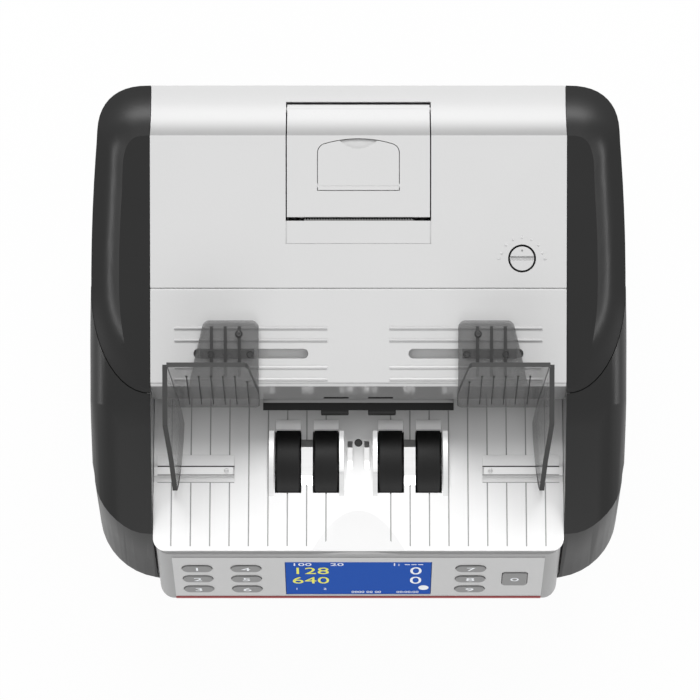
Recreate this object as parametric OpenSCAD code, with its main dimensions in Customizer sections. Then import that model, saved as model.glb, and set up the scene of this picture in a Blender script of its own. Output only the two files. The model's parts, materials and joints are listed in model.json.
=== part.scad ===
// Banknote sorter with a top hopper, a front stacker and a built-in receipt printer.
// Millimetres, +Z up, front towards -Y, origin at the bottom centre of the whole machine.

/* [Casing] */
// Greatest width over the side casings
body_w = 298; // [292:0.5:306]
// Width of one side casing
side_w = 34.2; // [33:0.1:36]
// Place of the rear face
rear_y = 141; // [139:0.5:146]
// Wall of the plastic covers
skin = 2.5; // [2:0.1:3]
// Thickness of the steel side plates
plate_t = 2; // [1.5:0.1:2.5]
// Height of the feet
foot_h = 6; // [4:0.5:9]
// Radius of a foot
foot_r = 10; // [7:0.5:13]
// Thickness of the base pan
pan_t = 2.5; // [2:0.1:3]
// Bulge radius of the side casings in plan
side_bulge_r = 1450; // [1200:10:2000]
// Radius of the front corners at the base
front_corner_r = 37; // [33:0.5:40]
// Radius of the rear corners
rear_corner_r = 26; // [22:0.5:27]
// Rounding along the outer top edge of the arms
arm_round_r = 17; // [12:0.5:20]
// Place of the foremost face of the side casings
arm_front_y = -129.5; // [-132:0.5:-127]
// Height where the slanted front of the side casings starts
arm_slant_z = 133; // [128:0.5:140]

/* [Deck] */
// Place of the ridge along the top
ridge_y = 111.5; // [109:0.5:114]
// Height of the ridge
ridge_z = 228.3; // [224:0.1:234]
// Fall of the deck towards the front, in degrees
deck_tilt = 6.9; // [5.5:0.1:8]
// Drop of the hollow skirt behind and beside the ridge
skirt_drop = 10.4; // [8:0.1:12]
// How quickly the skirt flattens out
skirt_power = 2.7; // [2:0.1:3.2]
// Place of the joint between the top cover and the feed cover
joint_y = 28.5; // [27:0.5:30]
// Place of the front edge of the feed cover
deck_front_y = -25.5; // [-27:0.5:-24]
// Fall of the arms towards the front, in degrees
arm_tilt = 21.1; // [20:0.1:22]
// Place of the crease where the arms turn down to the front
arm_crease_y = -105.7; // [-107:0.1:-104]
// Height of that crease
arm_crease_z = 183.5; // [182:0.1:185]
// Rounding between the deck line and the arm line
arm_blend_r = 112; // [80:1:130]

/* [Hopper] */
// Place of the front edge of the hopper table
table_front_y = -115.1; // [-117:0.1:-113]
// Height of the front edge of the hopper table
table_front_z = 184.4; // [183:0.1:186]
// Fall of the table towards the back, in degrees
table_tilt = 6; // [5:0.1:7]
// Thickness of the table
table_t = 2.5; // [2:0.1:3]
// Spacing of the table grooves
groove_pitch = 10.8; // [9:0.1:12]
// Width of a table groove
groove_w = 0.7; // [0.5:0.1:1.2]
// Depth of a table groove
groove_depth = 0.6; // [0.4:0.1:1]
// Radius of the front corners of the table
table_corner_r = 7; // [4:0.5:8]
// Half width of the finger scoop at the front edge
scoop_half = 22; // [16:0.2:24]
// Length of the finger scoop
scoop_len = 16; // [12:0.5:20]
// Depth of the finger scoop at the front edge
scoop_depth = 1.5; // [1:0.1:1.8]
// Height of the fascia strip below the deck
fascia_h = 16.1; // [14:0.1:18]
// Lean of the fascia strip, in degrees
fascia_lean = 19.5; // [17:0.5:22]
// Thickness of the fascia strip
fascia_t = 2; // [1.5:0.1:2.5]

/* [Pickup] */
// Radius of a pickup roller
pickup_r = 24; // [22:0.1:25]
// Width of a pickup roller
pickup_w = 13; // [10:0.1:14]
// Place of the pickup shaft along the machine
pickup_y = -67.5; // [-69:0.1:-66]
// How far the pickup rollers stand above the table
pickup_proud = 6.4; // [5:0.1:7.5]
// Distance of the inner pickup rollers from the middle
pickup_in_x = 18.1; // [17:0.1:19]
// Distance of the outer pickup rollers from the middle
pickup_out_x = 39.3; // [38:0.1:41]
// Radius of every shaft
shaft_r = 4; // [3:0.1:5]
// Running clearance of a shaft in its bore
run_gap = 0.05; // [0.02:0.01:0.1]
// Room around pieces that move past each other
move_gap = 0.4; // [0.3:0.05:0.6]

/* [Guides] */
// Thickness of the guide walls
guide_t = 2.7; // [2.2:0.1:3.2]
// Height of the top edge of the guides
guide_top_z = 246; // [240:0.5:252]
// Distance of the outer top edge of a guide from the side casing
guide_inset = 8.9; // [7:0.1:11]
// Place of the rear foot of a guide's side wall
guide_foot_y = -43.6; // [-46:0.1:-42]
// Place of the front tip of a guide's side wall
guide_tip_y = -81.7; // [-86:0.1:-78]
// Travel of a guide towards the middle
guide_travel = 29; // [20:0.5:29]
// Length of a guide slider
slider_len = 30; // [26:0.5:32]
// Width of the slots in the feed cover
slot_w = 5.4; // [5:0.1:6]
// Distance of the outer slot end from the side casing
slot_inset = 24; // [22:0.1:25]
// Place of the slots along the machine
slot_y = -7.6; // [-9:0.1:-6]
// Height of the ridges beside the slots
ridge_h = 0.8; // [0.5:0.1:1]

/* [Front panel] */
// Place of the top edge of the front face
panel_top_y = -116.5; // [-118:0.1:-115]
// Height of the top edge of the front face
panel_top_z = 183.3; // [182:0.1:184]
// Lean of the front face, in degrees
panel_lean = 25.3; // [23:0.1:27]
// Length of the front face down its slope
panel_len = 56.9; // [55:0.1:60]
// Distance of the front housing's sides from the side casings
housing_inset = 1.5; // [0.8:0.1:4]
// Radius of the housing's front corners
housing_corner_r = 8; // [5:0.5:10]
// Distance of the panel overlay's ends from the housing's sides
overlay_inset = 9; // [8.5:0.1:11]
// Thickness of the panel overlay
overlay_t = 1; // [0.8:0.1:1.2]
// Distance of the overlay's top edge down the slope
overlay_top = 5; // [4:0.1:6]
// Height of the overlay down the slope
overlay_h = 48.8; // [48:0.1:50]
// Height of the display window
window_h = 40.7; // [36:0.1:42]
// Middle of the window and of the middle key row, down the slope
panel_mid = 31.2; // [30:0.1:32]
// Width of a key
key_w = 16.7; // [14:0.1:18]
// Height of a key
key_h = 7.4; // [6:0.1:9]
// Spacing of the key rows
key_pitch = 13; // [12:0.1:14]
// Width of the large key
reset_w = 13.9; // [12:0.1:16]
// Height of the large key
reset_h = 15.4; // [12:0.1:17]
// Height of a key above the overlay
key_proud = 0.7; // [0.5:0.1:1.2]
// Travel of a key
key_travel = 1.2; // [0.8:0.1:1.4]
// Distance of the outer key columns from the overlay's ends
key_inset = 13.6; // [12.5:0.1:16]
// Distance between the key columns
key_cols = 27.5; // [24:0.1:29]
// Distance between the inner keys and the display window
window_gap = 13.85; // [12:0.05:17]

/* [Printer] */
// Half width of the printer lid
lid_half = 39.3; // [36:0.1:42]
// Thickness of the printer lid
lid_t = 2.5; // [2:0.1:3]
// Place of the front edge of the lid
lid_front_y = 67.1; // [66:0.1:68]
// Place of the rear end of the lid
lid_rear_y = 130.6; // [129.5:0.1:131.5]
// Gap beside the lid
lid_gap = 0.7; // [0.4:0.05:0.8]
// Width of the paper slot in front of the lid
paper_slot = 2.1; // [1.6:0.1:2.6]
// Place of the front edge of the fixed bezel
bezel_front_y = 52.7; // [52:0.1:54]
// Half width of the latch flap
latch_half = 22.3; // [20:0.1:24]
// Place of the front edge of the latch flap
latch_front_y = 81.7; // [80:0.1:84]
// Length of the latch flap
latch_len = 28; // [24:0.2:29]
// Radius of the platen roller
platen_r = 4; // [3:0.1:4.5]
// Length of the platen roller
platen_len = 58; // [56:0.5:62]

/* [Thickness knob] */
// Distance of the knob from the side casing
knob_inset = 24.8; // [20:0.1:29]
// Width of the finger bar's groove in the knob
knob_groove_w = 2.6; // [1:0.1:3]
// Place of the knob along the machine
knob_y = 44.4; // [42:0.1:47]
// Radius of the knob
knob_r = 6.6; // [5.5:0.1:7.2]
// Radius of the hole around the knob
knob_hole_r = 7.7; // [7.5:0.1:8.5]

/* [Transport] */
// Radius of the feed rollers
feed_r = 17; // [15:0.1:18]
// Place of the feed shaft along the machine
feed_y = -12; // [-13:0.1:-11]
// Radius of the transport drums
drum_r = 42; // [38:0.1:43]
// Width of a transport drum
drum_w = 30; // [20:0.5:36]
// Distance of the transport drums from the middle
drum_x = 60; // [56:0.5:66]
// Place of the transport shaft along the machine
drum_y = 38; // [37:0.1:40]
// Height of the transport shaft
drum_z = 128; // [126:0.1:129]
// Radius of the stacker wheels
stacker_r = 36; // [30:0.1:38]
// Place of the stacker shaft along the machine
stacker_y = -32; // [-34:0.1:-30]
// Height of the stacker shaft
stacker_z = 78; // [76:0.1:80]
// Width of a stacker wheel
stacker_wheel_w = 8; // [6:0.1:10]
// Place of the foot of the stacker plate
stacker_back_y = -60; // [-61:0.1:-58]
// Height of the front lip of the stacker tray above the base
tray_front_h = 22; // [18:0.5:26]
// Length of the drive motor
motor_len = 64; // [50:0.5:70]
// Radius of the drive motor
motor_r = 25; // [18:0.5:27]
// Place of the drive motor along the machine
motor_y = 104; // [102:0.5:106]
// Height of the drive motor
motor_z = 60; // [56:0.5:64]
// Width of a drive belt
belt_w = 5; // [4:0.1:6]
// Thickness of a drive belt
belt_t = 1.2; // [1:0.1:1.6]

/* [Hidden] */
$fn = 48;

// Colours of the finishes
dark_grey = [0.17, 0.17, 0.18];
light_grey = [0.84, 0.84, 0.84];
mid_grey = [0.55, 0.55, 0.56];
white = [0.95, 0.95, 0.95];
black = [0.05, 0.05, 0.05];
steel = [0.72, 0.73, 0.75];
smoke = [0.25, 0.25, 0.26];
blue = [0.13, 0.33, 0.63];

body_half = body_w / 2;
bay_half = body_half - side_w;
guide_out_x = bay_half - guide_inset;
slot_out_x = bay_half - slot_inset;
housing_half = bay_half - housing_inset;
overlay_half = housing_half - overlay_inset;
key_out_x = overlay_half - key_inset;
key_in_x = key_out_x - key_cols;
window_w = 2 * (key_in_x - key_w / 2 - window_gap);
knob_x = bay_half - knob_inset;
floor_z = foot_h + pan_t;
fit_gap = 0.3;
eps = 0.01;
big = 400;
plate_in = bay_half;
plate_out = bay_half + plate_t;
insert_half = bay_half - fit_gap;

// Lines of the side view
function deck_z(y) = ridge_z - (ridge_y - y) * tan(deck_tilt);
function arm_z(y) = arm_crease_z + (y - arm_crease_y) * tan(arm_tilt);
function skirt_z(y) = ridge_z - skirt_drop * (1 - pow(max(0, 1 - (y - ridge_y) / (rear_y - ridge_y)),
    skirt_power));
function table_z(y) = table_front_z - (y - table_front_y) * tan(table_tilt);
function table_v(y) = (y - table_front_y) / cos(table_tilt);

// The deck line and the arm line meet at a corner that a wide radius rounds off
bend_y = (arm_crease_z - arm_crease_y * tan(arm_tilt) - ridge_z + ridge_y * tan(deck_tilt))
    / (tan(deck_tilt) - tan(arm_tilt));
bend_z = deck_z(bend_y);
bend_len = arm_blend_r * tan((arm_tilt - deck_tilt) / 2);
bend_back = [bend_y + bend_len * cos(deck_tilt), bend_z + bend_len * sin(deck_tilt)];
bend_mid = bend_back + arm_blend_r * [sin(deck_tilt), -cos(deck_tilt)];
function bend_point(a) = bend_mid + arm_blend_r * [-sin(a), cos(a)];

// Side view of the casing, with every edge moved in by the same wall
slant = atan2(arm_crease_y - arm_front_y, arm_crease_z - arm_slant_z);
function casing_points(wall) = concat(
    [for (i = [0:10]) let (y = rear_y - wall - i * (rear_y - wall - ridge_y) / 10) [y,
        skirt_z(y) - wall]],
    [for (i = [0:6]) bend_point(deck_tilt + i * (arm_tilt - deck_tilt) / 6) - [0, wall]],
    [[arm_crease_y + wall * 0.9, arm_crease_z - wall],
     [arm_front_y + wall, arm_slant_z - wall * 0.25],
     [arm_front_y + wall, floor_z],
     [rear_y - wall, floor_z]]);

// Plan of one side casing, bulging gently between its two rounded corners
function casing_x(y) = body_half - pow(y + 20, 2) / (2 * side_bulge_r);
corner_front_y = arm_front_y + front_corner_r;
corner_rear_y = rear_y - rear_corner_r;
function corner_points(x, y, r, from, to) = [for (i = [0:10]) let (a = from + i * (to - from) / 10)
    [x + r * cos(a), y + r * sin(a)]];
function plan_points(wall) = concat(
    [[0, arm_front_y + wall]],
    corner_points(casing_x(corner_front_y) - front_corner_r, corner_front_y, front_corner_r - wall,
        -90, 0),
    [for (i = [1:7]) let (y = corner_front_y + i * (corner_rear_y - corner_front_y) / 8) [casing_x(y)
        - wall, y]],
    corner_points(casing_x(corner_rear_y) - rear_corner_r, corner_rear_y, rear_corner_r - wall, 0, 90),
    [[0, rear_y - wall]]);

// Room under a sloping top whose outer edge is rounded
module edge_round(wall, tilt, y, z) {
    r = arm_round_r - wall * 0.8;
    translate([0, y, z - wall]) rotate([tilt, 0, 0]) rotate([90, 0, 0]) translate([0, 0, -big])
        linear_extrude(2 * big) polygon(concat(
            [[0, -big], [0, 0]],
            corner_points(body_half - arm_round_r, -arm_round_r, r, 90, 0),
            [[body_half - wall * 0.8, -big]]));
}

// Solid of the right-hand casing, drawn in by a wall
module casing_solid(wall) {
    slant_r = 30;
    intersection() {
        linear_extrude(big) polygon(plan_points(wall));
        rotate([90, 0, 90]) linear_extrude(big) polygon(casing_points(wall));
        edge_round(wall, arm_tilt, arm_crease_y, arm_crease_z);
        edge_round(wall, deck_tilt, ridge_y, ridge_z);
        // Rounded corner along the slanted front
        union() {
            translate([-big, -big, -big]) cube([2 * big, 2 * big, big + arm_slant_z]);
            translate([0, arm_front_y, arm_slant_z]) rotate([-slant, 0, 0]) translate([0, 0, -big / 2])
                linear_extrude(big) polygon(concat(
                    [[0, wall]],
                    corner_points(casing_x(corner_front_y) - slant_r, slant_r, slant_r - wall, -90, 0),
                    [[body_half + 5, 2 * slant_r], [body_half + 5, big], [0, big]]));
        }
    }
}

// Rim of the upper cover in plan: from its front tip, round the outer side, to the rear
tip_y = deck_front_y - 3.5;
rim_turn_y = 31;
rim_half = casing_x(rim_turn_y) - 0.3;
rim_rear_x = rim_half - 3.4;
rim_count = 36;
function rim_point(u) =
    u < 0.36 ? let (a = 90 * u / 0.36)
        [bay_half + (rim_half - bay_half) * sin(a), rim_turn_y - (rim_turn_y - tip_y) * cos(a)] :
    u < 0.68 ? let (t = (u - 0.36) / 0.32, y = rim_turn_y + t * (corner_rear_y - 3 - rim_turn_y))
        [rim_half - (rim_half - rim_rear_x) * t * t, y] :
    let (a = 90 * (u - 0.68) / 0.32, w = rim_rear_x - bay_half)
        [bay_half + w * pow(cos(a), 0.8), corner_rear_y - 3 + (rear_y - corner_rear_y
            + 3) * pow(sin(a), 0.8)];

// Crease of the upper cover, which bounds its flat top
crease_half = bay_half + 16.9;
function crease_point(u) =
    u < 0.36 ? let (a = 90 * u / 0.36)
        [bay_half + (crease_half - bay_half) * sin(a), rim_turn_y - (rim_turn_y - tip_y - 2) * cos(a)] :
    u < 0.68 ? let (t = (u - 0.36) / 0.32)
        [crease_half - 2 * t * t, rim_turn_y + t * (ridge_y - 28 - rim_turn_y)] :
    let (a = 90 * (u - 0.68) / 0.32)
        [bay_half + (crease_half - 2 - bay_half) * pow(cos(a), 0.6), ridge_y - 28 + 28 * pow(sin(a),
            0.6)];
function inner_point(u) = [bay_half, min(crease_point(u)[1], ridge_y - 2) - 1.5 * u];
// Along the arm the rim stands a little over the arm's rounded edge
rim_lift = 0.5;
function arm_top_z(y) = y > bend_back[0] ? deck_z(y) :
    bend_mid[1] + sqrt(pow(arm_blend_r, 2) - pow(y - bend_mid[0], 2));
function edge_drop(x) = let (d = min(arm_round_r, max(0, x - body_half + arm_round_r)))
    arm_round_r - sqrt(pow(arm_round_r, 2) - d * d);
function arm_drop(u) = let (p = rim_point(u)) deck_z(p[1]) - arm_top_z(p[1])
    + edge_drop(p[0]) - rim_lift;
function rim_drop(u) = u < 0.36 ? arm_drop(u) :
    skirt_drop + (arm_drop(0.36) - skirt_drop) * pow(max(0, 1 - (u - 0.36) / 0.4), 2);

// Heights over the cover: flat to the crease, then a hollow skirt to the rim
skirt_steps = 6;
function cover_point(u, j) = let (
    top = crease_point(u),
    rim = rim_point(u),
    t = max(0, j - 1) / skirt_steps,
    p = j == 0 ? inner_point(u) : top + t * (rim - top),
    base = deck_z(min(p[1], ridge_y)))
    [p[0], p[1], base - rim_drop(u) * (1 - pow(1 - t, skirt_power))];

module upper_cover() {
    cols = skirt_steps + 2;
    rows = rim_count + 1;
    top = [for (i = [0:rim_count]) for (j = [0:cols - 1]) cover_point(i / rim_count, j)];
    low = [for (p = top) p - [0, 0, skin]];
    n = rows * cols;
    function id(i, j) = i * cols + j;
    faces = concat(
        [for (i = [0:rows - 2]) for (j = [0:cols - 2]) each [
            [id(i, j), id(i + 1, j), id(i + 1, j + 1)], [id(i, j), id(i + 1, j + 1), id(i, j + 1)]]],
        [for (i = [0:rows - 2]) for (j = [0:cols - 2]) each [
            [n + id(i, j), n + id(i + 1, j + 1), n + id(i + 1, j)],
            [n + id(i, j), n + id(i, j + 1), n + id(i + 1, j + 1)]]],
        [for (i = [0:rows - 2]) each [
            [id(i, 0), n + id(i, 0), n + id(i + 1, 0)], [id(i, 0), n + id(i + 1, 0), id(i + 1, 0)],
            [id(i, cols - 1), n + id(i + 1, cols - 1), n + id(i, cols - 1)],
            [id(i, cols - 1), id(i + 1, cols - 1), n + id(i + 1, cols - 1)]]],
        [for (j = [0:cols - 2]) each [
            [id(0, j), n + id(0, j + 1), n + id(0, j)], [id(0, j), id(0, j + 1), n + id(0, j + 1)],
            [id(rows - 1, j), n + id(rows - 1, j), n + id(rows - 1, j + 1)],
            [id(rows - 1, j), n + id(rows - 1, j + 1), id(rows - 1, j + 1)]]]);
    polyhedron(concat(top, low), faces);
}

// Room that the upper cover takes out of the lower cover
module upper_cover_room() {
    seat = arm_drop(0.36) + skin + fit_gap;
    outline = concat([[bay_half - 1, tip_y - fit_gap]],
        [for (i = [0:rim_count]) let (p = rim_point(i / rim_count)) p + fit_gap * [1, i < 13 ? -1 : 1]],
        [[bay_half - 1, rear_y + 1]]);
    difference() {
        linear_extrude(big) polygon(outline);
        intersection() {
            translate([0, ridge_y, ridge_z - seat]) rotate([deck_tilt, 0, 0]) translate([-big, -big,
                -big])
                cube([2 * big, 2 * big, big]);
            translate([-big, -big, -big]) cube([2 * big, 2 * big, big + ridge_z - seat]);
        }
    }
}

module lower_cover() {
    difference() {
        intersection() {
            casing_solid(0);
            translate([bay_half, -big, floor_z]) cube([big, 2 * big, big]);
        }
        translate([0, 0, -eps]) casing_solid(skin);
        upper_cover_room();
    }
}

module left_side() {
    mirror([1, 0, 0]) children();
}

// Frames of the sloping surfaces
module at_deck(x, y) {
    translate([x, y, deck_z(y)]) rotate([deck_tilt, 0, 0]) children();
}
module at_table() {
    translate([0, table_front_y, table_front_z]) rotate([-table_tilt, 0, 0]) children();
}
module at_panel(x, down) {
    translate([0, panel_top_y, panel_top_z]) rotate([90 - panel_lean, 0, 0]) translate([x, -down,
        0]) children();
}
// Outline drawn in Y and Z, pulled across the machine
module across(half) {
    rotate([90, 0, 90]) translate([0, 0, -half]) linear_extrude(2 * half) children();
}
// Round bar across the machine between two places
module rod(x0, x1, y, z, r) {
    translate([x0, y, z]) rotate([0, 90, 0]) cylinder(r = r, h = x1 - x0);
}
module pill(w, h) {
    hull_r = h / 2;
    translate([-w / 2 + hull_r, 0]) circle(hull_r);
    translate([w / 2 - hull_r, 0]) circle(hull_r);
    square([w - h, h], center = true);
}
module rounded_box(w, h, r) {
    square([w - 2 * r, h], center = true);
    square([w, h - 2 * r], center = true);
    for (x = [-1, 1], y = [-1, 1]) translate([x * (w / 2 - r), y * (h / 2 - r)]) circle(r);
}

// Casing
module base_pan() {
    color(dark_grey) difference() {
        for (side = [0, 1]) mirror([side, 0, 0]) translate([0, 0, foot_h]) linear_extrude(pan_t)
            polygon(plan_points(0));
        // Cooling slots under the power supply
        for (i = [0:7]) translate([-80, 62 + i * 6, 0]) cube([50, 3, big]);
    }
}

module feet() {
    inset = 34;
    color(black) for (x = [-1, 1], y = [arm_front_y + inset, rear_y - inset])
        translate([x * (bay_half - 4), y, 0]) cylinder(r = foot_r, h = foot_h);
}

// Steel side plate with the bores of the shafts
module side_plate() {
    inset = skin + fit_gap;
    color(steel) difference() {
        intersection() {
            translate([plate_in, -big, 0]) cube([plate_t, 2 * big, big]);
            casing_solid(inset);
        }
        for (p = [[pickup_y, pickup_z], [feed_y, feed_z], [drum_y, drum_z], [stacker_y, stacker_z],
                [motor_y, motor_z]])
            rod(plate_in - 1, plate_out + 1, p[0], p[1], shaft_r + run_gap);
    }
}
module right_side_plate() { side_plate(); }
module left_side_plate() { left_side() side_plate(); }
module right_lower_cover() { color(dark_grey) lower_cover(); }
module left_lower_cover() { color(dark_grey) left_side() lower_cover(); }
module right_upper_cover() { color(dark_grey) upper_cover(); }
module left_upper_cover() { color(dark_grey) left_side() upper_cover(); }

// Top cover: deck behind the joint, ridge and hollow rear skirt
joint_gap = 0.6;
function top_line(wall) = concat(
    [for (i = [0:12]) let (y = rear_y - i * (rear_y - ridge_y) / 12) [y, skirt_z(y) - wall]],
    [[joint_y, deck_z(joint_y) - wall]]);
function reversed(list) = [for (i = [len(list) - 1:-1:0]) list[i]];
opening_half = lid_half + lid_gap;
opening_rear_y = lid_rear_y + 1.2;
boss_w = 6;
knob_cup_depth = 11;
module top_cover() {
    color(light_grey) difference() {
        union() {
            across(insert_half) polygon(concat(top_line(0), reversed(top_line(skin))));
            at_deck(knob_x, knob_y) translate([0, 0, -knob_cup_depth])
                cylinder(r = knob_hole_r + 2, h = knob_cup_depth - skin / 2);
            for (s = [-1, 1]) translate([s * (opening_half + boss_w / 2), hinge_y, hinge_z - 1.4])
                cube([boss_w, 7.6, 5], center = true);
        }
        translate([-opening_half, bezel_front_y - fit_gap, 100])
            cube([2 * opening_half, opening_rear_y - bezel_front_y + fit_gap, big]);
        at_deck(knob_x, knob_y) {
            translate([0, 0, 2.5 - knob_cup_depth]) cylinder(r = knob_hole_r, h = big);
            translate([0, 0, -2 * knob_cup_depth]) cylinder(r = knob_stem_r + run_gap, h = big);
        }
        rod(-opening_half - boss_w - 1, opening_half + boss_w + 1, hinge_y, hinge_z,
            lid_pin_r + run_gap);
    }
}

// Feed cover: deck in front of the joint, with the slots and ridges of the guides
slot_in_x = slot_out_x - 2 * move_gap - slider_len - guide_travel - 3.4;
ridge_spread = [13.9, 7.3, -7.5, -14];
module feed_cover() {
    ridge_out_x = slot_out_x + 10.4;
    ridge_in_x = slot_in_x - 10.5;
    back_y = joint_y - joint_gap;
    color(light_grey) difference() {
        union() {
            across(insert_half) polygon([[back_y, deck_z(back_y) - 0.6], [back_y - 0.7,
                deck_z(back_y - 0.7)],
                [deck_front_y + fascia_t, deck_z(deck_front_y + fascia_t)],
                [deck_front_y + fascia_t, deck_z(deck_front_y + fascia_t) - skin],
                [back_y, deck_z(back_y) - skin]]);
            for (s = [-1, 1], d = ridge_spread) at_deck(s * (ridge_in_x + ridge_out_x) / 2, slot_y + d)
                rotate([0, 90, 0]) cylinder(r = ridge_h, h = ridge_out_x - ridge_in_x, center = true,
                    $fn = 24);
        }
        for (s = [-1, 1]) at_deck(s * (slot_in_x + slot_out_x) / 2, slot_y) translate([0, 0, -10])
            linear_extrude(20) pill(slot_out_x - slot_in_x, slot_w);
    }
}

// Glossy strip that leans under the front edge of the feed cover
fascia_top_z = deck_z(deck_front_y);
fascia_low_y = deck_front_y - fascia_h * tan(fascia_lean);
module fascia_strip() {
    notch_w = 13.5;
    notch_x = 12.3;
    notch_h = 2.2;
    edge = 0.05;
    color(mid_grey) difference() {
        across(insert_half) polygon([[deck_front_y, fascia_top_z], [fascia_low_y,
            fascia_top_z - fascia_h],
            [fascia_low_y + fascia_t, fascia_top_z - fascia_h],
            [deck_front_y + fascia_t - edge, fascia_top_z]]);
        for (s = [-1, 1]) translate([s * notch_x - notch_w / 2, fascia_low_y - 5,
            fascia_top_z - fascia_h - 1])
            cube([notch_w, 15, notch_h + 1]);
    }
}

// Rear cover with vents and the cut-out of the power inlet
rear_cover_out = rear_y - 2.2;
rear_cover_in = rear_cover_out - skin;
inlet_x = 36.8 - bay_half;
inlet_z = 44;
inlet_w = 58;
inlet_h = 24;
module rear_cover() {
    top = skirt_z(rear_y) - skin;
    color(light_grey) difference() {
        union() {
            translate([-insert_half, rear_cover_in, floor_z]) cube([2 * insert_half, skin,
                top - floor_z]);
            translate([-insert_half, rear_cover_in, top - 8]) cube([2 * insert_half,
                rear_y - rear_cover_in, 8]);
        }
        for (i = [0:11]) translate([-66 + i * 12, rear_cover_in - 1, 96]) cube([4, skin + 2, 54]);
        translate([inlet_x - inlet_w / 2, rear_cover_in - 1, inlet_z - inlet_h / 2])
            cube([inlet_w, skin + 2, inlet_h]);
    }
}

// Hopper table with roller slots, guard bars, grooves, rail recesses and a finger scoop
table_back_y = 10;
table_len = table_v(table_back_y);
pickup_z = table_z(pickup_y) + pickup_proud - pickup_r;
roller_gap = 0.8;
roller_drop = pickup_r - pickup_proud;
pickup_v = table_v(pickup_y) + roller_drop * sin(table_tilt);
function slot_half(depth) = sqrt(pow(pickup_r, 2) - pow(roller_drop * cos(table_tilt) - depth,
    2)) + roller_gap;
pickup_xs = [-pickup_out_x, -pickup_in_x, pickup_in_x, pickup_out_x];
side_gap = 0.9;
slot_depth = table_t + 1.5;
rail_in_x = 69.3;
rail_y = -70.4;
rail_w = 4.8;
rail_h = 1.3;
recess_v = [table_v(-76.7), table_v(-61.6)];
recess_depth = 1.5;
sensor_y = -54.6;
sensor_r = 2.2;
// Bar on the table with a sloping end at front and back
module ramp_bar(x, w, v0, v1, h, ramp) {
    translate([x - w / 2, 0, 0]) rotate([90, 0, 90]) linear_extrude(w)
        polygon([[v0, -1], [v0, 0], [v0 + ramp, h], [v1 - ramp, h], [v1, 0], [v1, -1]]);
}
// Cut that rounds a front corner of the table
module corner_cut(side) {
    r = table_corner_r;
    difference() {
        translate([side > 0 ? insert_half - r : -insert_half - r, -1, -20]) cube([2 * r, r + 1, 40]);
        translate([side * (insert_half - r), r, -21]) cylinder(r = r, h = 42);
    }
}
module hopper_table() {
    bar_h = 4;
    mid_x = (pickup_in_x + pickup_out_x) / 2;
    color(white) difference() {
        union() {
            at_table() {
                translate([-insert_half, 0, -table_t]) cube([2 * insert_half, table_len, table_t]);
                for (s = [-1, 1]) {
                    ramp_bar(s * mid_x, pickup_out_x - pickup_in_x - pickup_w - 2 * side_gap,
                        pickup_v - 13, pickup_v + 13, bar_h, 5);
                    ramp_bar(s * (pickup_out_x + pickup_w / 2 + 2.9), 2.8, pickup_v - 19,
                        pickup_v + 18, bar_h, 9);
                    ramp_bar(s * (pickup_in_x - pickup_w / 2 - 2.2), 2.6, pickup_v - 19, pickup_v + 18,
                        bar_h, 9);
                    ramp_bar(s * 4.7, 2.8, pickup_v - 3.5, pickup_v + 12, 2.6, 4);
                }
                // Rail recess is backed by a thicker strip under the table
                for (s = [-1, 1]) translate([s * (rail_in_x + insert_half)
                    / 2 - (insert_half - rail_in_x) / 2,
                        recess_v[0], -table_t - recess_depth])
                    cube([insert_half - rail_in_x, recess_v[1] - recess_v[0], table_t]);
            }
        }
        at_table() {
            // Roller slots widen downwards, as the rollers do
            for (x = pickup_xs) translate([x - pickup_w / 2 - side_gap, pickup_v, 0]) rotate([90, 0,
                90])
                linear_extrude(pickup_w + 2 * side_gap) polygon([[-slot_half(0), 12], [-slot_half(0),
                    0],
                    [-slot_half(slot_depth), -slot_depth], [slot_half(slot_depth), -slot_depth],
                    [slot_half(0), 0], [slot_half(0), 12]]);
            corner_cut(1);
            corner_cut(-1);
            for (s = [-1, 1]) translate([s * feed_x - feed_w / 2 - side_gap, table_v(feed_y) - feed_r,
                -20])
                cube([feed_w + 2 * side_gap, 2 * feed_r, 40]);
            // Sloping step behind each roller
            for (x = pickup_xs) translate([x - pickup_w / 2 - side_gap, pickup_v + slot_half(0), 0])
                rotate([90, 0, 90]) linear_extrude(pickup_w + 2 * side_gap)
                    polygon([[-1, 1], [-1, -1.3], [0, -1.3], [6, 0], [6, 1]]);
            for (s = [-1, 1], i = [0:8]) translate([s * (pickup_in_x + i * groove_pitch)
                - groove_w / 2, 2.5,
                    -groove_depth])
                cube([groove_w, table_len, 20 * groove_depth / 12]);
            for (s = [-1, 1]) translate([s > 0 ? rail_in_x : -insert_half - 1, 0, 0]) rotate([90, 0,
                90])
                linear_extrude(insert_half - rail_in_x + 1) polygon([[recess_v[0], 1], [recess_v[0],
                    -recess_depth],
                    [recess_v[1] - 5, -recess_depth], [recess_v[1], 0], [recess_v[1], 1]]);
            translate([0, table_v(sensor_y), -10]) cylinder(r = sensor_r + run_gap, h = 20);
            // Finger scoop
            scoop_r = (pow(scoop_half, 2) + pow(scoop_depth, 2)) / (2 * scoop_depth);
            translate([0, -1, scoop_r - scoop_depth]) rotate([-90 + atan(scoop_depth / scoop_len), 0,
                0])
                translate([0, 0, -30]) cylinder(r = scoop_r, h = 60, $fn = 200);
        }
    }
}
module hopper_sensor() {
    color(black) at_table() translate([0, table_v(sensor_y), -6]) cylinder(r = sensor_r, h = 6);
}
module rail() {
    color(light_grey) at_table() translate([rail_in_x + 0.8, table_v(rail_y) - rail_w / 2,
        -recess_depth])
        cube([insert_half - rail_in_x - 0.8, rail_w, rail_h]);
}
module right_rail() { rail(); }
module left_rail() { left_side() rail(); }

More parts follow.
